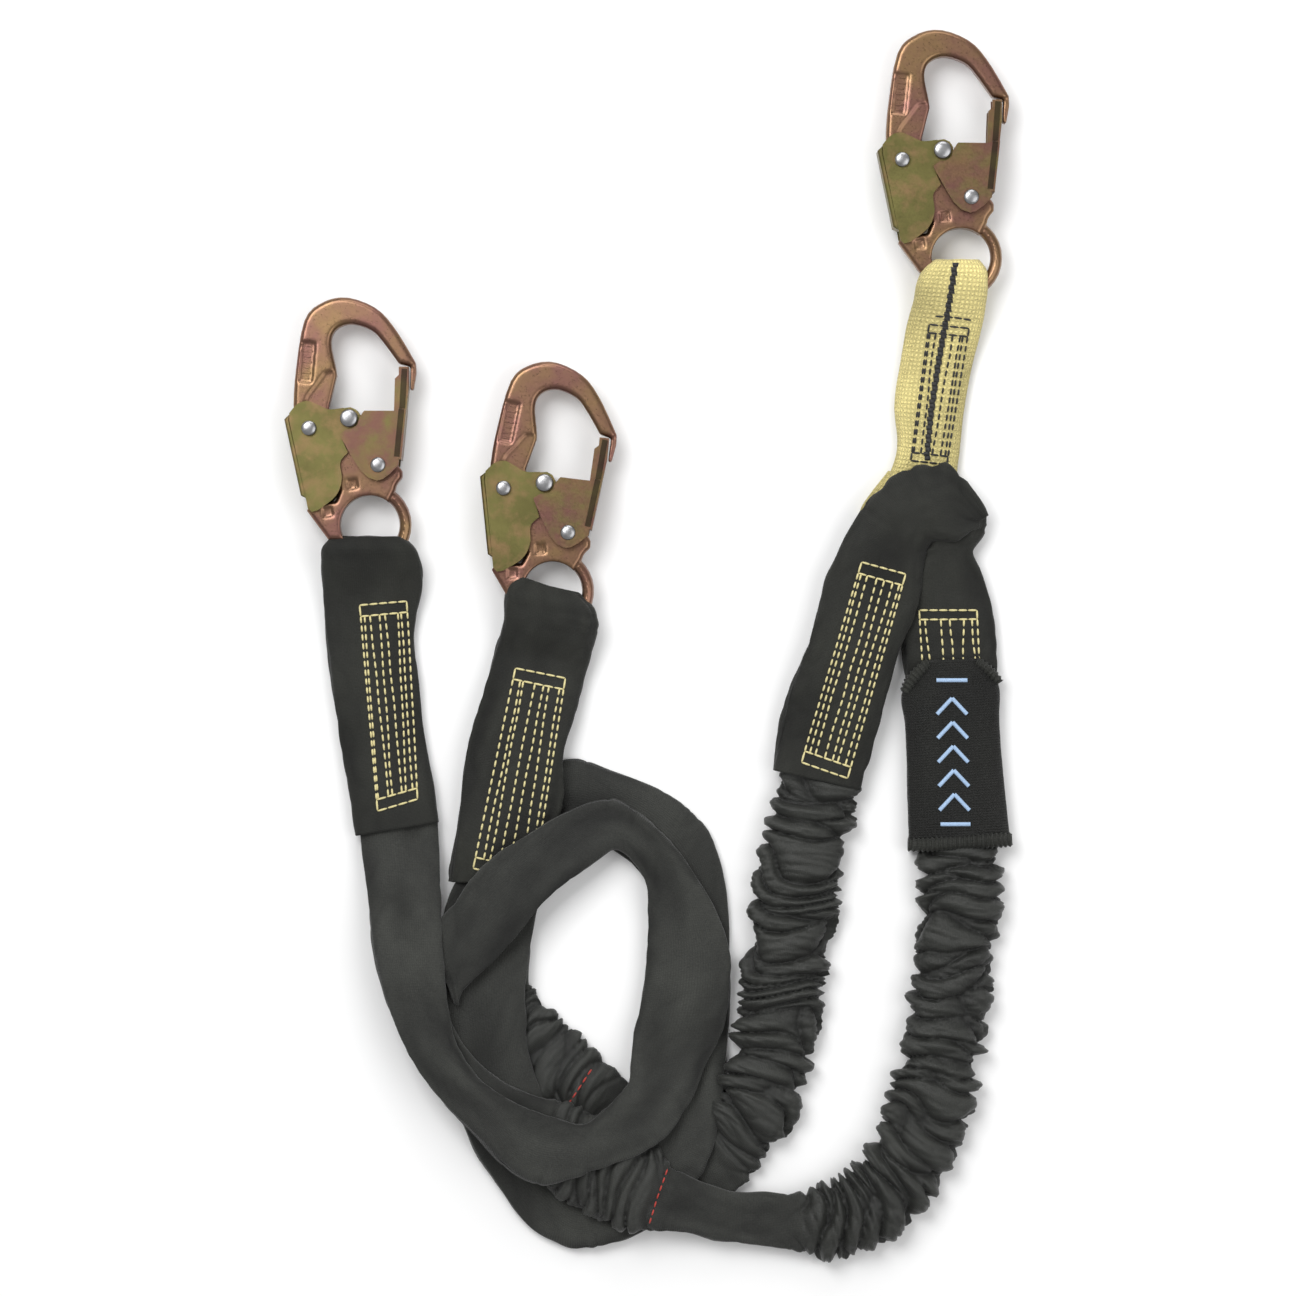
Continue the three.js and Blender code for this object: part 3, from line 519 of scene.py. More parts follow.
def speckle(tree, scale, detail=4.0, rough=0.6):
    """A random field over the piece, finer as its scale grows."""
    place = add_node(tree, "ShaderNodeTexCoord")
    noise = add_node(tree, "ShaderNodeTexNoise", Scale=scale, Detail=detail, Roughness=rough)
    tree.links.new(place.outputs["Object"], noise.inputs["Vector"])
    return noise.outputs["Fac"]


def weave_of(tree, pitch_u, pitch_v):
    """Two crossed sets of ribs at a pitch in metres along and round the piece."""
    place = add_node(tree, "ShaderNodeTexCoord")
    waves = []
    for direction, pitch in (("X", pitch_u), ("Y", pitch_v)):
        wave = add_node(tree, "ShaderNodeTexWave", bands_direction=direction, Distortion=0.6, Detail=1.0)
        wave.inputs["Scale"].default_value = 0.314 / pitch
        wave.inputs["Detail Scale"].default_value = 2.0
        tree.links.new(place.outputs["UV"], wave.inputs["Vector"])
        waves.append(wave.outputs["Fac"])
    product = add_node(tree, "ShaderNodeMath", operation="MULTIPLY")
    tree.links.new(waves[0], product.inputs[0])
    tree.links.new(waves[1], product.inputs[1])
    return product.outputs[0]


def roughness_from(tree, shader, source, low, high):
    """Roughness that follows a field between two values."""
    rough = add_node(tree, "ShaderNodeMapRange")
    rough.inputs["To Min"].default_value = low
    rough.inputs["To Max"].default_value = high
    tree.links.new(source, rough.inputs["Value"])
    tree.links.new(rough.outputs["Result"], shader.inputs["Roughness"])


def bump_from(tree, shader, height, distance, strength):
    bump = add_node(tree, "ShaderNodeBump", Strength=strength, Distance=distance)
    tree.links.new(height, bump.inputs["Height"])
    tree.links.new(bump.outputs["Normal"], shader.inputs["Normal"])


def cloth_material(name, dark, light, pitch, roughness, sheen, bump=0.6, weave_share=0.35, wear=26.0,
                   crease_shade_factor=0.35, crest_highlight_factor=1.5):
    """Woven cloth: thread by thread relief, soft patches of wear, a fine fibre speckle, and painted shade in
    the creases and a painted highlight on the crests.
    """
    material, tree, shader = nodes_for(name)
    patches = ramp_of(tree, speckle(tree, wear, 3.0, 0.5), 0.32, 0.68)
    fibres = ramp_of(tree, speckle(tree, 1400.0, 2.0), 0.3, 0.75)
    weave = weave_of(tree, *pitch)
    base = mixed(tree, patches, dark, light)
    fibre_tone = mixed(tree, fibres, shade(dark, 0.7), shade(light, 1.25))
    toned = mixed(tree, 0.4, base, fibre_tone)
    # Painted light: the colour runs from a darkened copy (painted shade) to a lightened copy (painted
    # highlight) along the mesh's painted light field; the last two arguments set how dark and how light
    painted_light = add_node(tree, "ShaderNodeAttribute", attribute_name="painted_light")
    painted_crease_shade = mixed(tree, 1.0, toned, (crease_shade_factor, crease_shade_factor, crease_shade_factor), "MULTIPLY")
    painted_crest_highlight = mixed(tree, 1.0, toned, (crest_highlight_factor, crest_highlight_factor, crest_highlight_factor), "MULTIPLY")
    toned = mixed(tree, ramp_of(tree, painted_light.outputs["Fac"], 0.0, 1.0), painted_crease_shade, painted_crest_highlight)
    woven = mixed(tree, weave, shade(dark, 0.55), toned)
    colour = mixed(tree, weave_share, toned, woven)
    tree.links.new(colour, shader.inputs["Base Color"])
    roughness_from(tree, shader, patches, roughness - 0.08, roughness + 0.08)
    shader.inputs["Sheen Weight"].default_value = sheen
    shader.inputs["Sheen Roughness"].default_value = 0.45
    shader.inputs["Specular IOR Level"].default_value = 0.35
    mix = add_node(tree, "ShaderNodeMath", operation="ADD")
    tree.links.new(weave, mix.inputs[0])
    tree.links.new(fibres, mix.inputs[1])
    bump_from(tree, shader, mix.outputs[0], min(pitch) * 0.35, bump)
    return material


def zinc_material(name, gold, pink, olive, roughness, streak):
    """Yellow zinc plating: gold going to pink and olive in patches, with fine tumbling marks."""
    material, tree, shader = nodes_for(name)
    wide = ramp_of(tree, speckle(tree, 42.0, 3.0), 0.36, 0.6)
    other = ramp_of(tree, speckle(tree, 95.0, 4.0), 0.45, 0.75)
    marks = ramp_of(tree, speckle(tree, 900.0, 3.0), 0.3, 0.8)
    base = mixed(tree, wide, gold, pink)
    base = mixed(tree, other, base, olive)
    base = mixed(tree, marks, mixed(tree, 0.15, base, (0.05, 0.035, 0.02)), base)
    tree.links.new(base, shader.inputs["Base Color"])
    shader.inputs["Metallic"].default_value = 0.92
    roughness_from(tree, shader, marks, roughness, roughness + streak)
    bump_from(tree, shader, marks, 0.00008, 0.12)
    return material


def steel_material(name, tint, roughness):
    """Bright steel with fine tumbling marks."""
    material, tree, shader = nodes_for(name)
    marks = ramp_of(tree, speckle(tree, 500.0, 4.0), 0.3, 0.75)
    tree.links.new(mixed(tree, marks, shade(tint, 0.72), tint), shader.inputs["Base Color"])
    shader.inputs["Metallic"].default_value = 1.0
    shader.inputs["Roughness"].default_value = roughness
    bump_from(tree, shader, marks, 0.0001, 0.2)
    return material


def thread_material(name, tint):
    """Twisted thread with a soft sheen."""
    material, tree, shader = nodes_for(name)
    twist = ramp_of(tree, speckle(tree, 2600.0, 2.0), 0.3, 0.7)
    tree.links.new(mixed(tree, twist, shade(tint, 0.6), tint), shader.inputs["Base Color"])
    shader.inputs["Roughness"].default_value = 0.55
    shader.inputs["Sheen Weight"].default_value = 0.2
    bump_from(tree, shader, twist, 0.0001, 0.5)
    return material


# Settings
class LegSettings(bpy.types.PropertyGroup):
    gather_pitch: bpy.props.FloatProperty(
        name="Gather Pitch", description="Distance from one pucker to the next", unit="LENGTH",
        default=11.5 * MM,
    )
    gather_depth: bpy.props.FloatProperty(
        name="Gather Depth", description="Height of the puckers over their creases", unit="LENGTH",
        default=8.6 * MM,
    )
    smooth_tint: bpy.props.FloatVectorProperty(
        name="Smooth Tint", description="Colour of the flat tubing", subtype="COLOR",
        default=(0.0255, 0.0265, 0.0235),
    )
    gather_tint: bpy.props.FloatVectorProperty(
        name="Gather Tint", description="Colour of the gathered tubing", subtype="COLOR",
        default=(0.0165, 0.0173, 0.0152),
    )


class SleeveSettings(bpy.types.PropertyGroup):
    tint: bpy.props.FloatVectorProperty(
        name="Sleeve Tint", description="Colour of the wear sleeves", subtype="COLOR",
        default=(0.0142, 0.0148, 0.0118),
    )
    wrinkle: bpy.props.FloatProperty(
        name="Wrinkle", description="Depth of the soft wrinkles", default=0.55 * MM, unit="LENGTH"
    )


class StrapSettings(bpy.types.PropertyGroup):
    tint: bpy.props.FloatVectorProperty(
        name="Strap Tint", description="Colour of the harness strap", subtype="COLOR",
        default=(0.92, 0.79, 0.33),
    )
    rib: bpy.props.FloatProperty(
        name="Rib Pitch", description="Distance between the webbing's ribs", default=2.2 * MM, unit="LENGTH"
    )


class StitchSettings(bpy.types.PropertyGroup):
    tint: bpy.props.FloatVectorProperty(
        name="Thread Tint", description="Colour of the sewing thread", subtype="COLOR",
        default=(0.84, 0.74, 0.36),
    )
    dash: bpy.props.FloatProperty(
        name="Stitch", description="Length of one stitch", default=3.4 * MM, unit="LENGTH"
    )
    gap: bpy.props.FloatProperty(
        name="Gap", description="Gap between stitches", default=1.1 * MM, unit="LENGTH"
    )


class HookSettings(bpy.types.PropertyGroup):
    gold: bpy.props.FloatVectorProperty(
        name="Gold", description="Plating where it is gold", default=(0.255, 0.158, 0.08), subtype="COLOR"
    )
    pink: bpy.props.FloatVectorProperty(
        name="Pink", description="Plating where it is pink", default=(0.22, 0.107, 0.087), subtype="COLOR"
    )
    olive: bpy.props.FloatVectorProperty(
        name="Olive", description="Plating where it is olive", default=(0.165, 0.15, 0.052), subtype="COLOR"
    )


class StageSettings(bpy.types.PropertyGroup):
    floor_tint: bpy.props.FloatVectorProperty(
        name="Floor Tint", description="Colour of the floor", default=(0.93, 0.93, 0.93), subtype="COLOR"
    )
    key_power: bpy.props.FloatProperty(
        name="Key Power", description="Strength of the main light", default=26.0, unit="POWER"
    )


GROUPS = {
    "lanyard_legs": LegSettings,
    "lanyard_sleeves": SleeveSettings,
    "lanyard_strap": StrapSettings,
    "lanyard_stitch": StitchSettings,
    "lanyard_hooks": HookSettings,
    "lanyard_stage": StageSettings,
}


def joint_place(name):
    """Where the record puts a joint."""
    joints = frame["record"]["behaviour"]["joints"]
    return Vector(next(joint["pos_m"] for joint in joints if joint["name"] == name))


def bend_with(piece, joint, eye_joint):
    """Reads the hinge at a hook's neck, between the lanyard and the loop at the hook, and bakes the piece's
    place into its mesh.
    """
    hinge = joint_place(joint)
    ahead = joint_place(eye_joint) - hinge
    ahead.z = 0
    ahead.normalize()
    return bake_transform(piece)


def black_cloth(settings, name):
    """The close black cloth of the wear sleeves and the yoke."""
    pitch = (0.7 * MM, 0.7 * MM)
    return cloth_material(name, shade(settings.tint, 0.75), shade(settings.tint, 1.3), pitch, 0.74, 0.07)


# Pieces
class LANYARD_OT_legs(bpy.types.Operator):
    """Builds both elastic legs, gathered and smooth, as one sewn tube each"""

    bl_idname = "lanyard.legs"
    bl_label = "Legs"

    def execute(self, context):
        settings = context.scene.lanyard_legs
        smooth, gather, step = settings.smooth_tint, settings.gather_tint, 0.9
        flat = cloth_material("flat_tube", shade(smooth, 0.55), shade(smooth, 1.6), (0.8 * MM, 0.8 * MM),
                              0.78, 0.16, wear=20.0)
        # The gathered cloth takes deep painted shade in its creases and a strong painted highlight on its
        # puffs
        puffed = cloth_material("gathered_tube", shade(gather, 0.7), shade(gather, 1.4), (0.6 * MM, 0.6 * MM),
                                0.42, 0.08, crease_shade_factor=0.04, crest_highlight_factor=1.9)
        core = cloth_material("elastic_core", (0.5, 0.47, 0.38), (0.62, 0.6, 0.5), (1.5 * MM, 1.5 * MM),
                              0.8, 0.1)
        for number, rows in ((1, LEG_1), (2, LEG_2)):
            leg = f"leg_{number}"
            _, along, middle = smooth_rows(rows, step)
            piece = soft_tube(
                f"{leg}_sleeve", rows, [flat, puffed], step, around=96, wrinkle=0.4, seed=11 * number,
                pitch=settings.gather_pitch / MM, puff=settings.gather_depth / MM,
            )
            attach(piece, "lanyard")
            sections = ("long_gathered", "short_smooth", "short_gathered", "smooth")
            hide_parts(*(f"{leg}_{section}_sleeve" for section in sections))
            inner = soft_tube(f"{leg}_core", core_rows(rows), [core], step=3, around=24, wrinkle=0.05,
                              seed=5 * number)
            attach(inner, "lanyard")
            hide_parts(f"{leg}_core_webbing")
        return {"FINISHED"}


class LANYARD_OT_wear_sleeves(bpy.types.Operator):
    """Builds the wear sleeve of each leg, draped over its hook's ring"""

    bl_idname = "lanyard.wear_sleeves"
    bl_label = "Wear Sleeves"

    def execute(self, context):
        settings = context.scene.lanyard_sleeves
        cloth = black_cloth(settings, "wear_sleeve_cloth")
        for number, rows in ((1, WEAR_1), (2, WEAR_2)):
            piece = soft_tube(f"leg_{number}_wear_cloth", rows, [cloth], step=1.2, around=80,
                              wrinkle=settings.wrinkle / MM, seed=40 + number)
            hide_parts(f"leg_{number}_wear_sleeve", f"hook_{number}_webbing_loop")
            bend_with(piece, f"hook_{number}_swing", f"hook_{number}_swivel")
        return {"FINISHED"}


class LANYARD_OT_yoke(bpy.types.Operator):
    """Builds the yoke's sleeve, its rear branch under the folded front branch"""

    bl_idname = "lanyard.yoke"
    bl_label = "Yoke"

    def execute(self, context):
        settings = context.scene.lanyard_sleeves
        cloth = black_cloth(settings, "yoke_cloth")
        for name, rows, seed in (("yoke_front_cloth", YOKE_FRONT, 51), ("yoke_rear_cloth", YOKE_REAR, 52)):
            piece = soft_tube(name, rows, [cloth], step=1.2, around=80,
                              wrinkle=settings.wrinkle / MM * 1.3, seed=seed)
            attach(piece, "lanyard")
            if name == "yoke_front_cloth":
                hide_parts("yoke_wear_sleeve")
        return {"FINISHED"}


class LANYARD_OT_label(bpy.types.Operator):
    """Builds the label pack with its bindings and a plain embroidered pattern"""

    bl_idname = "lanyard.label"
    bl_label = "Label"

    def execute(self, context):
        tint = tuple(context.scene.lanyard_sleeves.tint)
        twill = cloth_material("label_twill", shade(tint, 0.55), tint, (1.3 * MM, 1.3 * MM), 0.6, 0.08,
                               bump=1.0, weave_share=0.8)
        cover = soft_tube("label_cloth", LABEL, [twill], step=1.2, around=96, wrinkle=0.18, seed=61,
                          squareness=0.3)
        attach(cover, "lanyard")
        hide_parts("label_cover")
        binding = cloth_material("binding_tape", shade(tint, 0.9), shade(tint, 1.9), (0.9 * MM, 0.9 * MM),
                                 0.6, 0.08)
        for name, node, rows in TAPES:
            tape = soft_tube(name, rows, [binding], step=0.4, around=40, wrinkle=0.05, seed=62,
                             squareness=0.3, rib=2.3)
            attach(tape, "lanyard")
            if node:
                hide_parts(node)
        blue = thread_material("embroidery_thread", (0.42, 0.60, 0.86))
        motif = satin_pattern("label_motif", tree_of(cover), blue)
        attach(motif, "lanyard")
        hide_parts("label_embroidery")
        return {"FINISHED"}


def satin_pattern(name, tree, material):
    """Chevrons between two bars, in raised satin stitch."""
    strokes = [((146.5, -90), (161.5, -90)), ((144.5, -18), (160, -18))]
    for k in range(5):
        y, lean = -83 + 12 * k, 0.3 * k
        peak = (153.5 - lean, y + 8)
        strokes += [((146 - lean, y), peak), (peak, (161 - lean, y))]
    points, faces = [], []
    for start, end in strokes:
        a, b = Vector(start), Vector(end)
        run = (b - a).normalized()
        aside = Vector((-run.y, run.x))
        count = max(2, int((b - a).length / 0.35))
        first = len(points)
        for i in range(count + 1):
            spot = a + (b - a) * (i / count)
            cord = 0.10 if i % 2 else 0.0
            for off, lift in ((-1.1, -0.2), (-0.8, 0.45), (0, 0.75), (0.8, 0.45), (1.1, -0.2)):
                place = spot + aside * off
                points.append(on_top(tree, place.x, place.y) + Vector((0, 0, (lift + cord) * MM)))
        for i in range(count):
            for q in range(first + i * 5, first + i * 5 + 4):
                faces.append((q, q + 5, q + 6, q + 1))
        faces.append(tuple(first + k for k in range(5)))
        faces.append(tuple(first + count * 5 + k for k in reversed(range(5))))
        for i in range(count):
            q = first + i * 5
            faces.append((q, q + 4, q + 9, q + 5))
    return part_of(name, points, faces, material)


class LANYARD_OT_strap(bpy.types.Operator):
    """Builds the yellow harness strap, its black centre mark and its rear ply"""

    bl_idname = "lanyard.strap"
    bl_label = "Harness Strap"

    def execute(self, context):
        settings = context.scene.lanyard_strap
        # The webbing takes mild painted shade in its hollows and a painted highlight on its raised wrinkles
        webbing = cloth_material(
            "aramid_web", shade(settings.tint, 0.62), shade(settings.tint, 1.12),
            (settings.rib, settings.rib * 0.8), 0.75, 0.12, bump=1.0, weave_share=0.55, crease_shade_factor=0.9,
        )
        strap = soft_tube("harness_strap_web", STRAP, [webbing], step=1.0, around=80, wrinkle=0.12, seed=71,
                          squareness=0.35)
        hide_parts("harness_strap")
        bend_with(strap, "harness_strap_swing", "hook_3_swivel")
        rear = soft_tube("harness_strap_rear_ply", STRAP_REAR, [webbing], step=1.0, around=64, wrinkle=0.12,
                         seed=72, squareness=0.35)
        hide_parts("harness_strap_yoke_loop")
        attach(rear, "lanyard")
        black = thread_material("black_thread", (0.012, 0.012, 0.012))
        mark = centre_mark("strap_centre_mark", tree_of(strap), black)
        lines, locks = stitched_box((141, 160), (161, 158), (132, 92), (150, 90), 6, 0.06, 75)
        locks.append([(144, 164), (153, 163.4), (162, 162)])
        rows = sew("strap_box_stitches", strap, lines, locks, context.scene.lanyard_stitch, black)
        for piece in (mark, rows):
            bend_with(piece, "harness_strap_swing", "hook_3_swivel")
        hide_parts("harness_strap_stitching")
        return {"FINISHED"}


def centre_mark(name, tree, material):
    """A dark woven line down the middle of the strap, made of short raised floats."""
    points, faces = [], []
    line = np.array([(153.5, 190), (150, 165), (146, 142), (142, 116), (140, 92)], float)
    reach = reach_of(line)
    for n, at in enumerate(np.arange(0, reach[-1] - 2.0, 2.2)):
        x, y = np.interp(at + 1, reach, line[:, 0]), np.interp(at + 1, reach, line[:, 1])
        seat = on_top(tree, x, y)
        shift = 0.25 * (-1) ** n * MM
        first = len(points)
        for half_x, half_y, dz in ((1.6, 1.2, -0.3), (1.2, 0.95, 0.6)):
            for dx, dy in ((-half_x, -half_y), (half_x, -half_y), (half_x, half_y), (-half_x, half_y)):
                points.append(seat + Vector((dx * MM + shift, dy * MM, dz * MM)))
        for face in BOX_FACES:
            faces.append(tuple(first + k for k in face))
    return part_of(name, points, faces, material)


class LANYARD_OT_stitching(bpy.types.Operator):
    """Sews the yellow stitched boxes and the red tacks"""

    bl_idname = "lanyard.stitching"
    bl_label = "Stitching"

    def execute(self, context):
        stitch = context.scene.lanyard_stitch
        yellow = thread_material("yellow_thread", tuple(stitch.tint))
        red = thread_material("red_thread", (0.55, 0.035, 0.02))
        for number, corners in ((1, ((-144, 19.5), (-120.5, 21.5), (-135, -83.5), (-115, -77.5))),
                                (2, ((-66, -12), (-41, -17), (-87, -112), (-57, -119)))):
            cloth = bpy.data.objects[f"leg_{number}_wear_cloth"]
            box = stitched_box(*corners, 6, 0.055, 80 + number)
            piece = sew(f"leg_{number}_box_stitches", cloth, *box, stitch, yellow)
            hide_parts(f"leg_{number}_stitching")
            bend_with(piece, f"hook_{number}_swing", f"hook_{number}_swivel")
        for name, node, cloth, corners, rows, bars in (
            ("yoke_left_stitches", "yoke_left_stitching", "yoke_front_cloth",
             ((107, 41), (129, 35), (77, -59), (100, -67)), 6, 0.055),
            ("yoke_right_stitches", "yoke_right_stitching", "yoke_rear_cloth",
             ((136, 17), (165, 17), (139, -30), (167, -28)), 5, 0.1),
        ):
            box = stitched_box(*corners, rows, bars, len(name))
            piece = sew(name, bpy.data.objects[cloth], *box, stitch, yellow)
            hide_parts(node)
            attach(piece, "lanyard")
        for number, line in (
            (1, [(10, -262), (5, -276), (1, -289)]),
            (2, [(-28, -213), (-34, -222), (-40, -231)]),
        ):
            leg = bpy.data.objects[f"leg_{number}_sleeve"]
            piece = sew(f"leg_{number}_red_stitches", leg, [line], [], stitch, red, 0.4)
            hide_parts(f"leg_{number}_red_tack")
            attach(piece, "lanyard")
        return {"FINISHED"}


def with_modifiers(source, name, steps, material):
    """A copy of a CAD node's mesh with modifiers applied to it."""
    piece = object_of(name, source.data.copy())
    piece.data.materials.clear()
    for kind, values in steps:
        modifier = piece.modifiers.new(kind.lower(), kind)
        for key, value in values.items():
            setattr(modifier, key, value)
    bpy.context.view_layer.update()
    shaped = piece.evaluated_get(bpy.context.evaluated_depsgraph_get())
    mesh = bpy.data.meshes.new_from_object(shaped)
    piece.modifiers.clear()
    piece.data = mesh
    mesh.polygons.foreach_set("use_smooth", np.ones(len(mesh.polygons), bool))
    mesh.materials.append(material)
    return piece


def hook_frame(hook):
    """Where a hook's own x and y lie, from its two rivets."""
    spots = []
    for rivet in ("lever_rivet", "gate_rivet"):
        low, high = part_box(f"{hook}_{rivet}")
        spots.append(((low + high) / 2).xy)
    turn = math.atan2(*(spots[1] - spots[0]).yx) - math.atan2(*RIVET_STEP.yx)
    return spots[0], turn


def hook_place(hook, x, y, z):
    """A place on a hook, given in millimetres as the hook stands upright."""
    origin, turn = hook_frame(hook)
    dx, dy = (x - LEVER_RIVET.x) * MM, (y - LEVER_RIVET.y) * MM
    c, s = math.cos(turn), math.sin(turn)
    return Vector((origin.x + c * dx - s * dy, origin.y + s * dx + c * dy, z * MM))


class LANYARD_OT_hooks(bpy.types.Operator):
    """Softens the forged bodies and pressed plates of the hooks and gives them their zinc plating"""

    bl_idname = "lanyard.hooks"
    bl_label = "Hooks"

    def execute(self, context):
        settings = context.scene.lanyard_hooks
        gold, pink, olive = tuple(settings.gold), tuple(settings.pink), tuple(settings.olive)
        copper = tuple(0.5 * (a + b) for a, b in zip(gold, pink))
        forged = zinc_material("forged_zinc", gold, pink, copper, 0.26, 0.14)
        plate = zinc_material("plate_zinc", shade(gold, 0.8), shade(pink, 0.8), olive, 0.3, 0.16)
        lever_finish = zinc_material("lever_zinc", olive, shade(olive, 0.75), gold, 0.34, 0.18)
        # A near-black zinc for the channel bars: painted shade inside the gate's folded channel
        channel_shade_finish = zinc_material("channel_painted_shade", (0.055, 0.043, 0.022), (0.04, 0.024, 0.018),
                                (0.06, 0.05, 0.02), 0.35, 0.1)
        forging = (
            ("REMESH", {"mode": "VOXEL", "voxel_size": 0.55 * MM}),
            ("SMOOTH", {"factor": 0.5, "iterations": 7}),
        )
        bevel = {"width": 0.7 * MM, "segments": 3, "limit_method": "ANGLE", "angle_limit": math.radians(35)}
        pressing = (("BEVEL", bevel),)
        for number, hook in enumerate(HOOKS, 1):
            for part, steps, finish, body in (
                ("body", forging, forged, hook),
                ("gate", pressing, plate, f"gate_{number}"),
                ("lock_lever", pressing, lever_finish, f"lever_{number}"),
            ):
                node = frame["nodes"][f"{hook}_{part}"]
                piece = with_modifiers(node, f"{hook}_{part}_finished", steps, finish)
                if part != "body":
                    piece.data.set_sharp_from_angle(angle=math.radians(32))
                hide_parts(f"{hook}_{part}")
                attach(piece, body)
            # Dark raised bars along the gate stand in for the shade inside its channel
            channel_shade_bars = bars_on(f"{hook}_gate_channel", hook, GATE_CHANNEL_SHADE, channel_shade_finish)
            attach(channel_shade_bars, f"gate_{number}")
            marks = bars_on(f"{hook}_stamped_marks", hook, STAMPED_MARKS, forged)
            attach(marks, hook)
        return {"FINISHED"}


def bars_on(name, hook, bars, material):
    """Plain raised bars on a hook, from their middles, widths, lengths, tilts and heights."""
    points, faces = [], []
    for x, y, wide, high, tilt, low, top in bars:
        first = len(points)
        c, s = math.cos(math.radians(tilt)), math.sin(math.radians(tilt))
        for z, inset in ((low, 0.0), (top, 0.15)):
            for dx, dy in ((-1, -1), (1, -1), (1, 1), (-1, 1)):
                a, b = dx * (wide / 2 - inset), dy * (high / 2 - inset)
                points.append(hook_place(hook, x + c * a - s * b, y + s * a + c * b, z))
        for face in BOX_FACES:
            faces.append(tuple(first + k for k in face))
    piece = part_of(name, points, faces, material)
    piece.data.polygons.foreach_set("use_smooth", np.zeros(len(faces), bool))
    return piece


class LANYARD_OT_rivets(bpy.types.Operator):
    """Turns the rivets with domed heads and finishes the springs"""

    bl_idname = "lanyard.rivets"
    bl_label = "Rivets and Springs"

    def execute(self, context):
        bright = steel_material("bright_steel", (0.40, 0.40, 0.41), 0.3)
        wire = steel_material("spring_wire", (0.3, 0.3, 0.31), 0.35)
        for number, hook in enumerate(HOOKS, 1):
            for rivet, body in (("lever_rivet", hook), ("gate_rivet", hook), ("lock_pin", f"lever_{number}")):
                piece = domed_rivet(f"{hook}_{rivet}_turned", f"{hook}_{rivet}", bright)
                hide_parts(f"{hook}_{rivet}")
                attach(piece, body)
            for spring in ("gate_spring", "lever_spring"):
                slot = frame["nodes"][f"{hook}_{spring}"].material_slots[0]
                slot.link = "OBJECT"
                slot.material = wire
        return {"FINISHED"}


def domed_rivet(name, node, material):
    """A rivet or pin turned about its own axis, with a domed head at each end."""
    low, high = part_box(node)
    middle = (low + high) / 2
    head = (high.x - low.x) / 2
    top = (high.z - low.z) / 2
    shaft = min(2.6 * MM, head * 0.7)
    shoulder = top - (3.5 * MM if "pin" in node or "lever" in node else 1.2 * MM)
    half = [(0, top), (head * 0.35, top - 0.04 * MM), (head * 0.62, top - 0.2 * MM),
            (head * 0.85, top - 0.5 * MM), (head * 0.97, top - 0.9 * MM), (head, shoulder), (shaft, shoulder)]
    profile = half + [(r, -z) for r, z in reversed(half)]
    sides = 32
    points = [middle + Vector((0, 0, profile[0][1]))]
    for r, z in profile[1:-1]:
        for k in range(sides):
            turn = 2 * math.pi * k / sides
            points.append(middle + Vector((r * math.cos(turn), r * math.sin(turn), z)))
    points.append(middle + Vector((0, 0, profile[-1][1])))
    faces = []
    rings = len(profile) - 2
    for k in range(sides):
        j = (k + 1) % sides
        faces.append((0, 1 + k, 1 + j))
        faces.append((len(points) - 1, 1 + (rings - 1) * sides + j, 1 + (rings - 1) * sides + k))
        for ring in range(rings - 1):
            a = 1 + ring * sides
            faces.append((a + k, a + sides + k, a + sides + j, a + j))
    return part_of(name, points, faces, material)


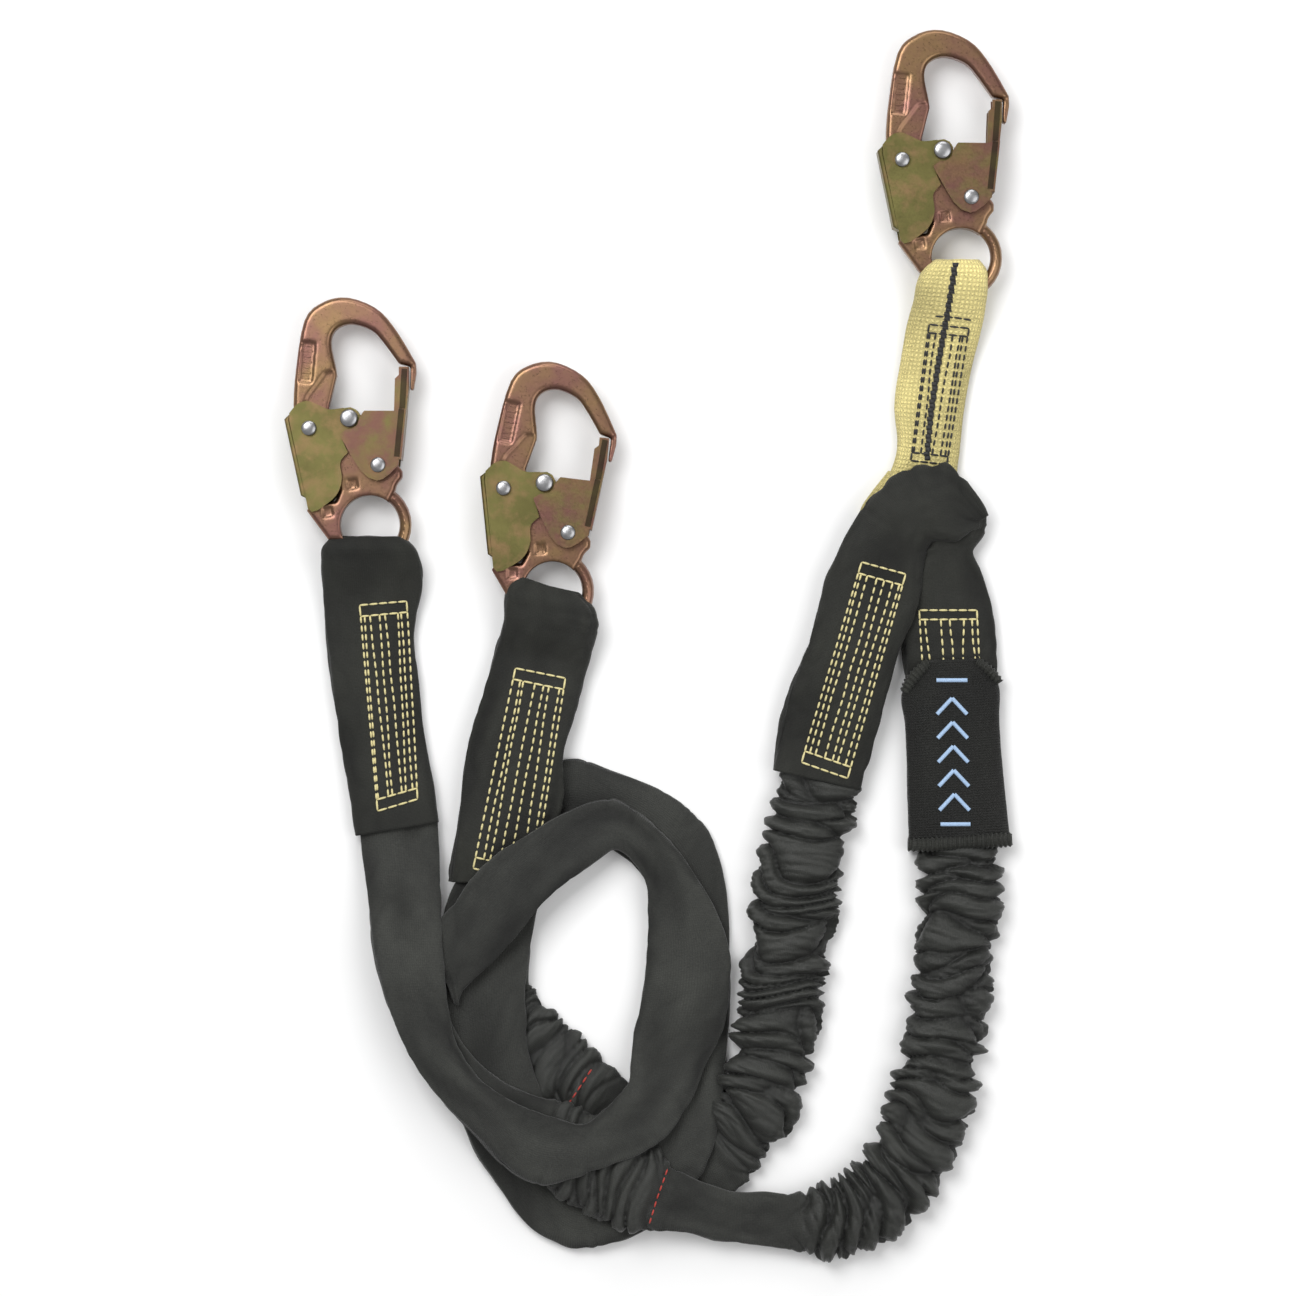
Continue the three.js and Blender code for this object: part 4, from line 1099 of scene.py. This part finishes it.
class LANYARD_OT_stage(bpy.types.Operator):
    """Sets the floor, the lights and the camera"""

    bl_idname = "lanyard.stage"
    bl_label = "Stage"

    def execute(self, context):
        settings = context.scene.lanyard_stage
        scene = context.scene
        material, tree, shader = nodes_for("pale_floor")
        tint = tuple(settings.floor_tint)
        tone = ramp_of(tree, speckle(tree, 6.0, 2.0), 0.2, 0.8)
        tree.links.new(mixed(tree, tone, shade(tint, 0.985), tint), shader.inputs["Base Color"])
        shader.inputs["Roughness"].default_value = 0.9
        signs = ((-1, -1), (1, -1), (1, 1), (-1, 1))
        corners = [(x * FLOOR_HALF, y * FLOOR_HALF, FLOOR_LEVEL) for x, y in signs]
        staged = [part_of("floor", corners, [(0, 1, 2, 3)], material)]
        for name, place, size, power in (
            ("key_light", (-0.7, 0.8, 1.7), 1.1, settings.key_power),
            ("fill_light", (1.1, -0.3, 1.5), 1.4, settings.key_power * 0.45),
            ("rear_light", (0.2, 1.6, 0.9), 1.0, settings.key_power * 0.35),
        ):
            data = bpy.data.lights.new(name, "AREA")
            data.size = size
            data.energy = power
            light = object_of(name, data)
            light.location = place
            light.rotation_euler = (-Vector(place)).to_track_quat("-Z", "Y").to_euler()
            staged.append(light)
        world = bpy.data.worlds.new("studio")
        world.use_nodes = True
        world.node_tree.nodes["Background"].inputs["Color"].default_value = (1, 1, 1, 1)
        world.node_tree.nodes["Background"].inputs["Strength"].default_value = 0.42
        scene.world = world
        scene.view_settings.view_transform = "Standard"
        data = bpy.data.cameras.new("camera")
        data.lens = data.sensor_width * (CAMERA_PLACE[2] - VIEW_LEVEL) / VIEW_WIDTH
        data.dof.use_dof = False
        camera = object_of("camera", data)
        camera.location = CAMERA_PLACE
        scene.camera = camera
        return {"FINISHED"}


class LANYARD_PT_panel(bpy.types.Panel):
    """Lists the lanyard's pieces and their settings"""

    bl_idname = "LANYARD_PT_panel"
    bl_label = "Lanyard"
    bl_space_type = "VIEW_3D"
    bl_region_type = "UI"
    bl_category = "Lanyard"

    def draw(self, context):
        for operator in OPERATORS:
            self.layout.operator(operator.bl_idname)
        for group, kind in GROUPS.items():
            for name in kind.__annotations__:
                self.layout.prop(getattr(context.scene, group), name)


OPERATORS = (
    LANYARD_OT_stage,
    LANYARD_OT_legs,
    LANYARD_OT_wear_sleeves,
    LANYARD_OT_yoke,
    LANYARD_OT_label,
    LANYARD_OT_strap,
    LANYARD_OT_stitching,
    LANYARD_OT_hooks,
    LANYARD_OT_rivets,
)


def register():
    for kind in (*GROUPS.values(), *OPERATORS, LANYARD_PT_panel):
        bpy.utils.register_class(kind)
    for name, kind in GROUPS.items():
        setattr(bpy.types.Scene, name, bpy.props.PointerProperty(type=kind))


def unregister():
    for name in GROUPS:
        delattr(bpy.types.Scene, name)
    for kind in (LANYARD_PT_panel, *reversed(OPERATORS), *reversed(tuple(GROUPS.values()))):
        bpy.utils.unregister_class(kind)


def main():
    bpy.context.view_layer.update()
    register()
    for operator in OPERATORS:
        group, name = operator.bl_idname.split(".")
        getattr(getattr(bpy.ops, group), name)()
    bpy.context.view_layer.update()


if __name__ == "__main__":
    main()
